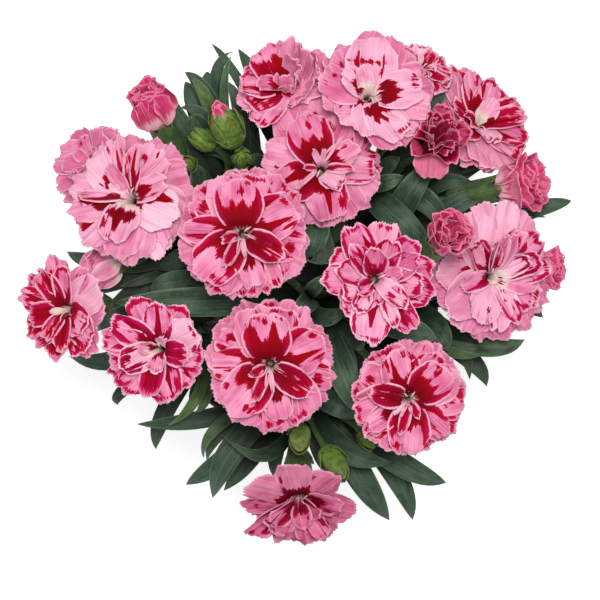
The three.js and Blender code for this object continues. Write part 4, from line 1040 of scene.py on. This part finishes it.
# ---------------------------------------------------------------- stems and leaves
# Each shoot's foot and fork, its flowers and buds, and its leaves, in pairs and single: how far up the
# stem, bend, tip, width, youth. The single leaves are small ones that fill the middle of the plant.
SHOOTS = {
    "west_upper": ((-11, 6), (-35, 20, 126), ["01", "21", "18"], [4], [
        (0.95, (-39, 14, 174), (-52, 8, 152), 7, 0), (0.7, (-78, 7, 154), (-87, 15, 140), 6, 0.1),
        (0.85, (-53, 6, 164), (-75, -11, 134), 9, 0), (0.95, (-33, 43, 154), (-39, 48, 156), 6, 0.1)], [
        (0.9, (-53, 4, 164), (-66, 2, 150), 3.4, 0), (0.95, (-46, 11, 165), (-67, 7, 142), 4, 0.1),
        (1, (-35, 44, 163), (-38, 47, 160), 5, 0.1), (0.8, (-54, 11, 152), (-70, 3, 134), 6, 0.1),
        (0.85, (-58, 3, 157), (-75, -10, 137), 7, 0), (0.8, (-59, 10, 154), (-76, -1, 136), 7, 0)]),
    "north_west": ((-6, 11), (-24, 36, 128), ["20"], [1, 2, 3], [
        (0.95, (-42, 55, 165), (-50, 76, 158), 8, 0), (0.75, (-36, 67, 158), (-42, 79, 144), 9, 0),
        (0.6, (-41, 87, 159), (-24, 90, 146), 5, 0), (0.45, (-49, 50, 136), (-59, 57, 124), 7, 0),
        (0.85, (-35, 77, 145), (-34, 83, 142), 7, 0)], [
        (0.9, (-31, 79, 159), (-42, 82, 150), 6, 0.1), (0.95, (-33, 77, 164), (-39, 79, 154), 4.5, 0.6),
        (0.9, (-18, 70, 168), (-26, 78, 160), 5, 0), (0.8, (-32, 74, 166), (-44, 68, 154), 5, 0),
        (0.7, (-35, 62, 152), (-43, 53, 142), 6, 0), (0.75, (-15, 56, 162), (-36, 51, 150), 5.5, 0),
        (0.85, (-39, 71, 166), (-40, 64, 158), 6, 0.15), (0.6, (-20, 61, 155), (-17, 68, 146), 7, 0),
        (0.9, (-31, 74, 168), (-24.5, 87, 161), 3.2, 0.15)]),
    "north": ((0, 13), (2, 40, 128), ["03", "05"], [], [
        (0.9, (-21, 82, 161), (-32, 93, 148), 3.6, 0), (0.95, (-11, 75, 160), (-22, 91, 148), 6.5, 0),
        (0.6, (-9, 79, 140), (-14, 90, 132), 6, 0), (0.95, (13, 21, 213), (1, 11, 172), 9, 0)], [
        (0.8, (-21, 53, 152), (-19, 62, 150), 6, 0), (0.7, (-12, 59, 166), (-24, 46, 146), 5, 0),
        (1, (20, -4, 207), (-2, 16, 184), 7, 0)]),
    "north_east": ((8, 10), (25, 40, 130), ["04", "06", "07"], [], [
        (1, (32, 29, 195), (51, 15, 160), 9.5, 0), (0.9, (50, 68, 172), (58, 81, 160), 6, 0),
        (0.65, (56, 71, 147), (59, 78, 132), 7, 0), (0.95, (51, 42, 185), (56, 19, 152), 8, 0)], [
        (1, (30, 38, 189), (39, 42, 174), 5.5, 0.1), (0.85, (37, 47, 159), (46, 60, 150), 7, 0),
        (0.9, (31, 46, 168), (38, 50, 160), 6, 0), (0.7, (47, 55, 157), (56, 43, 140), 7, 0)]),
    "east_upper": ((13, 4), (38, 24, 126), ["08", "09"], [], [
        (1, (35, 31, 187), (51, 49, 162), 9, 0), (0.85, (51, 50, 176), (68, 38, 152), 6, 0),
        (0.7, (92, 32, 158), (103, 34, 146), 6.5, 0), (0.95, (55, 29, 177), (73, 40, 154), 7, 0)], [
        (0.9, (52, 56, 163), (88, 48, 140), 6, 0), (0.8, (72, 58, 154), (81, 54, 132), 7, 0),
        (0.75, (55, 35, 168), (94, 28, 142), 6, 0), (0.9, (46, 56, 157), (62, 44, 142), 6.5, 0),
        (0.6, (53, 47, 156), (66, 32, 134), 7, 0)]),
    "east": ((14, -4), (38, -4, 124), ["10", "11", "12"], [], [
        (0.95, (55, -10, 175), (56, -22, 162), 8, 0.05), (0.8, (71, -28, 173), (85, -18, 152), 7.5, 0.1),
        (0.65, (71, -22, 154), (72, -36, 136), 7, 0), (0.5, (90, 1, 137), (94, -10, 128), 7, 0)], [
        (0.9, (51, -27, 167), (78, -20, 152), 4.5, 0.2), (0.95, (54, -28, 172), (70, -23, 156), 3.6, 0.3),
        (0.85, (65, -12, 157), (65, -33, 144), 6.5, 0.1), (0.9, (56, 13, 191), (53, -4, 164), 6, 0),
        (0.7, (57, -6, 152), (69, -30, 138), 6, 0)]),
    "centre": ((2, -1), (4, -2, 128), ["02", "13", "14", "15"], [], [
        (0.95, (39, -12, 206), (51, -18, 170), 9, 0), (0.85, (16, -28, 197), (23, -45, 162), 10, 0),
        (1, (-28, -4, 198), (-67, -4, 168), 10, 0)], [
        (0.9, (8, -2, 187), (-3, -10, 168), 7, 0), (0.9, (9, -16, 193), (20, -5, 166), 6, 0),
        (0.95, (21, -24, 181), (20, -37, 158), 7, 0), (0.9, (-50, 8, 183), (-54, 0, 162), 8, 0),
        (1, (4, 0, 196), (12, 6, 176), 5, 0.1), (0.8, (23, -13, 177), (24, -22, 156), 8, 0)]),
    "west": ((-13, -5), (-36, -14, 124), ["16", "17"], [], [
        (0.9, (-73, -4, 167), (-75, -15, 146), 7, 0), (0.7, (-56, -47, 147), (-54, -60, 128), 6.5, 0),
        (0.5, (-70, -33, 138), (-88, -25, 116), 7, 0)], [
        (0.95, (-31, -41, 175), (-48, -50, 152), 4, 0.75),
        (0.95, (-30, -43, 169), (-38, -45, 154), 3.6, 0.6),
        (0.85, (-36, -39, 156), (-40, -42, 140), 6, 0), (0.8, (-75, -40, 149), (-68, -43, 134), 4.5, 0)]),
    "south": ((0, -14), (3, -38, 124), ["19"], [5, 6, 7], [
        (1, (-27, -64, 163), (-42, -73, 138), 7.5, 0), (0.9, (-29, -56, 178), (-32, -78, 138), 9, 0),
        (1, (39, -68, 167), (56, -72, 144), 8.5, 0), (0.75, (43, -69, 154), (44, -87, 128), 8, 0),
        (0.85, (22, -68, 162), (35, -87, 132), 9.5, 0), (0.95, (-30, -50, 165), (-60, -50, 142), 6.5, 0)], [
        (0.6, (-12, -58, 150), (-28, -76, 126), 8.5, 0), (1, (-7, -75, 164), (-28, -53, 160), 5, 0.1),
        (0.95, (12, -65, 170), (36, -64, 152), 8, 0), (0.95, (-37, -47, 176), (-35, -62, 150), 4, 0.35),
        (0.9, (-34, -49, 166), (-34, -64, 142), 5, 0.1), (0.8, (-11, -59, 153), (-8, -71, 134), 6, 0),
        (0.9, (11, -53, 158), (23, -59, 142), 7, 0), (0.8, (7, -56, 153), (10, -68, 134), 6, 0),
        (0.95, (11, -40, 179), (24, -47, 152), 8, 0), (0.9, (1, -61, 163), (-5, -70, 146), 5, 0.2),
        (0.7, (-25, -54, 156), (-27, -68, 132), 7, 0)]),
}
FOOT_HEIGHT = 76.0
MAIN_RADIUS, STALK_RADIUS, BUD_STALK_RADIUS = 2.2, 1.5, 1.15
FLOWER_GAP, BUD_GAP = 0.3, 0.2  # from a stalk's end to what stands on it
NO_STEM_ALONG = np.array([0.3, 1.0, 0.05])  # a direction that no stem has
TWIN_REACH, TWIN_DROP, TWIN_GAP = 0.75, 12, 1.5
LEAF_FOLD, LEAF_THICKNESS = 0.34, 0.30
# painted shade: the leaves darken from this height down, over this depth, and less so from near the plant's
# outside on
DARK_BELOW, DARK_DEPTH, OUTSIDE = 175, 34, (52, 84)


def stalk(main, end, axis):
    """Curve from just below a shoot's fork to the foot of a flower or bud, along its axis at the end."""
    fork = main[-1]
    reach = np.linalg.norm(end - fork)
    return [point_on(main, 0.97), fork + unit(main[2] - main[1]) * 0.35 * reach,
            end - axis * 0.35 * reach, end]


def rod(build, curve, radii, joints, number, steps=26, around=12):
    """Round stem on a curve, a little swollen at its joints."""
    t = np.linspace(0, 1, steps)[:, None]
    middle = bezier(curve, t[:, 0])
    along = units(np.gradient(middle, axis=0))
    side = units(np.cross(along, NO_STEM_ALONG))
    other = np.cross(along, side)
    angle = np.linspace(0, FULL_TURN, around, endpoint=False)
    knots = np.zeros((steps, 1))
    for j in joints:
        knots = np.maximum(knots, np.exp(-((t - j) / 0.035) ** 2))
    size = np.interp(t, [0, 1], radii) * (1 + 0.22 * knots)
    ring = np.cos(angle)[None, :, None] * side[:, None, :] + np.sin(angle)[None, :, None] * other[:, None, :]
    build.tube(middle[:, None, :] + ring * size[..., None], layers(np.linspace(0, 1, around), t * 4, number),
               layers(np.zeros(around), 0.7 * knots, 0))


def leaf(build, base, bend, tip, width, youth, rng, number):
    """Keeled strap on a curve: widest at its middle, folded along its midrib, ending in a point. bend and
    tip are the curve's other two points, and youth makes it light green."""
    t = np.linspace(0, 1, 21)[:, None]
    u = np.linspace(-1, 1, 9)[None, :]
    middle = bezier([base, bend, tip], t[:, 0])
    along = units(np.gradient(middle, axis=0))
    away = unit([tip[0] - base[0], tip[1] - base[1], 0])
    flat = np.cross([0, 0, 1.0], away) * np.ones_like(t)
    twist = math.radians(rng.uniform(-14, 14)) * t
    upright = units(np.cross(along, flat))
    side = flat * np.cos(twist) + upright * np.sin(twist)
    normal = upright * np.cos(twist) - flat * np.sin(twist)
    swell = 0.5 + 0.5 * (t / 0.5) * (2 - t / 0.5)
    share = np.where(t < 0.5, swell, 1 - 0.97 * ((np.clip(t, 0.5, 1) - 0.5) / 0.5) ** 2.5)
    half = 0.5 * width * 1.12 * share
    ripple = 0.25 * np.sin(t * rng.uniform(7, 11) + rng.uniform(0, 6))
    keel = LEAF_FOLD * (1 - 0.5 * t) * half * (np.sqrt(u ** 2 + 0.015) - 0.12)
    lift = keel + ripple * np.sign(u) * u ** 2
    thick = LEAF_THICKNESS * (1 - 0.6 * t) * (1.25 - u ** 2)
    blade = middle[:, None, :] + side[:, None, :] * (half * u)[..., None]
    top = blade + normal[:, None, :] * (lift + thick)[..., None]
    under = blade + normal[:, None, :] * (lift - thick)[..., None]
    edge = (1 - np.abs(u)) * half
    tender = np.clip(0.7 * youth + 0.12 * (1 - smooth(0, 0.16, t)), 0, 1)
    # painted shade: darker low down in the plant, lighter towards its outside
    outer = smooth(*OUTSIDE, np.hypot(top[..., 0], top[..., 1]))
    painted_shade = np.clip((DARK_BELOW - top[..., 2]) / DARK_DEPTH, 0, 1) * (1 - 0.72 * outer)
    build.sheet(top, under, layers(u, t * 2, number), layers(tender, edge, painted_shade))


def shoot(name, number):
    """A shoot: its main stem, a stalk to each flower and bud, and its leaves. A leaf of a pair has a twin
    on the other side of the stem, where the CAD shoot has one."""
    foot, fork, heads, buds, pairs, singles = SHOOTS[name]
    rng = np.random.RandomState(SHOOT_SEED + number)
    low = np.array([*foot, FOOT_HEIGHT])
    main = [low, low + np.array([0, 0, 0.5 * (fork[2] - FOOT_HEIGHT)]), np.array(fork, float)]
    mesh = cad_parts["shoot_" + name].data
    solid = BVHTree.FromPolygons([v.co / MM for v in mesh.vertices], [p.vertices[:] for p in mesh.polygons])
    wood, green = Build(), Build()
    rod(wood, main, (MAIN_RADIUS, MAIN_RADIUS * 0.9), [up for up, *_ in pairs], number)
    for label in heads:
        flower = flower_of(label)
        curve = stalk(main, flower["foot"] - flower["axis"] * FLOWER_GAP, flower["axis"])
        rod(wood, curve, (STALK_RADIUS, STALK_RADIUS), (0.45,), number + 0.1)
    for which in buds:
        bud_foot, axis, _, _ = bud_of(which)
        curve = stalk(main, bud_foot - axis * BUD_GAP, axis)
        rod(wood, curve, (BUD_STALK_RADIUS, BUD_STALK_RADIUS), (0.5,), number + 0.2)
    for k, (up, bend, tip, width, youth) in enumerate(pairs):
        base = point_on(main, up)
        leaf(green, base, bend, tip, width, youth, rng, 10 * number + k)
        twin_bend = base + TWIN_REACH * (base - bend) * np.array([1, 1, -1])
        twin_tip = base + TWIN_REACH * (base - tip) * np.array([1, 1, -1]) - np.array([0, 0, TWIN_DROP])
        probe = bezier([base, twin_bend, twin_tip], np.array([0.75, 0.9]))
        if all(solid.find_nearest(Vector(p))[3] < TWIN_GAP for p in probe):
            leaf(green, base, twin_bend, twin_tip, width, youth, rng, 10 * number + k + 0.5)
    for k, (up, bend, tip, width, youth) in enumerate(singles):
        base = point_on(main, up)
        leaf(green, base, bend, tip, width, youth, rng, 200 + 10 * number + k)
    wood.done("stems_" + name, STEM, "leaf_and_stem", "shoot_" + name)
    green.done("leaves_" + name, LEAF, "leaf_and_stem")


for number, name in enumerate(SHOOTS):
    shoot(name, number)


# ---------------------------------------------------------------- pot and soil
AROUND = 96  # points on a ring of the pot and of the soil


def lathe_piece(name, rings, material, slot, node):
    build = Build()
    blank = np.zeros(rings.shape)
    build.tube(rings, blank, blank)
    return build.done(name, material, slot, node)


soil_low, soil_high = (np.array(v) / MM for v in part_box("potting_soil"))
RIM, _, TALL = np.array(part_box("pot")[1]) / MM
POT_FOOT = 40.0
WALL, LIP, FLOOR_THICK = 1.6, 12.0, 1.8
SHOULDER = RIM - 2.4


def pot_profile():
    """Radius and height along the pot's section, from the middle of its underside round to its floor."""
    rows = [(0.5, 0.0), (POT_FOOT - 1.2, 0.0), (POT_FOOT - 0.3, 0.35), (POT_FOOT, 1.2)]
    for k in np.linspace(0.05, 0.98, 12):
        rows.append((POT_FOOT + (SHOULDER - POT_FOOT) * k, (TALL - LIP) * k))
    rows += [(SHOULDER, TALL - LIP - 0.5), (SHOULDER + 0.3, TALL - LIP), (RIM - 1.0, TALL - LIP)]
    rows += [(RIM - 0.6, TALL - LIP + 0.4), (RIM - 0.3, TALL - 2.4), (RIM, TALL - 1.9), (RIM, TALL - 0.6)]
    rows += [(RIM - 0.5, TALL), (RIM - WALL + 0.4, TALL), (RIM - WALL, TALL - 0.5)]
    rows += [(SHOULDER - WALL + 0.2, TALL - LIP), (POT_FOOT - WALL + 0.1, FLOOR_THICK), (0.5, FLOOR_THICK)]
    return np.array(rows)


def drain_holes(piece, holes=6, from_middle=27, radius=3.5):
    """Round holes through the floor, cut as in the CAD."""
    for k in range(holes):
        a = FULL_TURN * k / holes
        place = (from_middle * MM * math.cos(a), from_middle * MM * math.sin(a), 0)
        bpy.ops.mesh.primitive_cylinder_add(vertices=24, radius=radius * MM, depth=6 * MM, location=place)
        cutter = bpy.context.object
        cut = piece.modifiers.new("hole", "BOOLEAN")
        cut.object, cut.operation, cut.solver = cutter, "DIFFERENCE", "EXACT"
        bpy.context.view_layer.objects.active = piece
        bpy.ops.object.modifier_apply(modifier=cut.name)
        bpy.data.objects.remove(cutter)


def soil_rings(edge_height=82.0):
    """Crumbly compost: a mounded surface with lumps over a flat underside, below the pot's lip."""
    rng = np.random.RandomState(SOIL_SEED)
    crown, radius = soil_high[2] - edge_height - 0.8, soil_high[0] - 0.1
    angle = np.linspace(0, FULL_TURN, AROUND, endpoint=False)
    waves = [(rng.randint(2, 40), rng.uniform(0.05, 0.9), rng.uniform(0, 6.28), rng.uniform(0.2, 1.0))
             for _ in range(46)]
    rings = [round_rings(r, soil_low[2], AROUND) for r in (0.5, POT_FOOT - WALL - 0.6)]
    for k in np.linspace(1, 0.012, 34):
        z = edge_height + crown * smooth(1.0, 0.25, k)
        for freq, _, phase, amp in waves:
            lump = np.sin(freq * angle + phase) * np.sin(freq * k * 4.4 + 3 * phase)
            z = z + 0.16 * amp * lump * min(k * 3, 1)
        z = np.minimum(z + 0.35 * rng.uniform(-1, 1, AROUND) * min(k * 3, 1), soil_high[2])
        rings.append(round_rings(radius * k, z, AROUND))
    return np.stack(rings)


profile = pot_profile()
pot_rings = round_rings(profile[:, :1], profile[:, 1:], AROUND)
drain_holes(lathe_piece("nursery_pot", pot_rings, POT, "pot_plastic", "pot"))
lathe_piece("potting_compost", soil_rings(), SOIL, "soil", "potting_soil")

# ---------------------------------------------------------------- stage, light and camera
FLOOR_GLOW = 0.5  # the floor is a softly lit table
bpy.ops.mesh.primitive_plane_add(size=6, location=(0, 0, -0.0005))
floor = bpy.context.object
floor.name = "floor"
paper = Shade("pale_floor", roughness=0.9, specular=0.1)
paper.feed(paper.surface, Emission_Color=(1, 1, 1, 1), Emission_Strength=FLOOR_GLOW)
tint = paper.step(0.3, 0.7, paper.solid_noise(3.0, 2.0, 0.5))
floor.data.materials.append(paper.finish(paper.mix(tint, "#f4f4f3", "#fafafa")))


def lamp(name, place, size, power, tone, aim=(0, 0, 0.15)):
    light = bpy.data.lights.new(name, "AREA")
    light.shape, light.size, light.energy, light.color = "DISK", size, power, tone
    holder = bpy.data.objects.new(name, light)
    holder.location = place
    holder.rotation_euler = (Vector(aim) - Vector(place)).to_track_quat("-Z", "Y").to_euler()
    bpy.context.scene.collection.objects.link(holder)


lamp("key", (0.06, 0.2, 1.5), 0.36, 15, (1.0, 0.985, 0.97))
lamp("fill", (-0.9, -0.5, 1.2), 1.2, 3.5, (0.97, 0.985, 1.0))
world = bpy.data.worlds.new("studio")
bpy.context.scene.world = world
world.use_nodes = True
world.node_tree.nodes["Background"].inputs[0].default_value = (1, 1, 1, 1)
world.node_tree.nodes["Background"].inputs[1].default_value = 0.42

view = bpy.context.scene.view_settings
view.view_transform = "Standard"
view.look = "None"

# the camera looks straight down; the frame is 216 mm wide at the height of the flowers
FLOWER_HEIGHT, CAMERA_HEIGHT, FRAME_WIDTH, SENSOR = 0.19, 1.19, 0.216, 36
camera_data = bpy.data.cameras.new("camera")
camera_data.sensor_width = SENSOR
camera_data.lens = SENSOR * (CAMERA_HEIGHT - FLOWER_HEIGHT) / FRAME_WIDTH
camera = bpy.data.objects.new("camera", camera_data)
camera.location = (0.0011, -0.0032, CAMERA_HEIGHT)
bpy.context.scene.collection.objects.link(camera)
bpy.context.scene.camera = camera
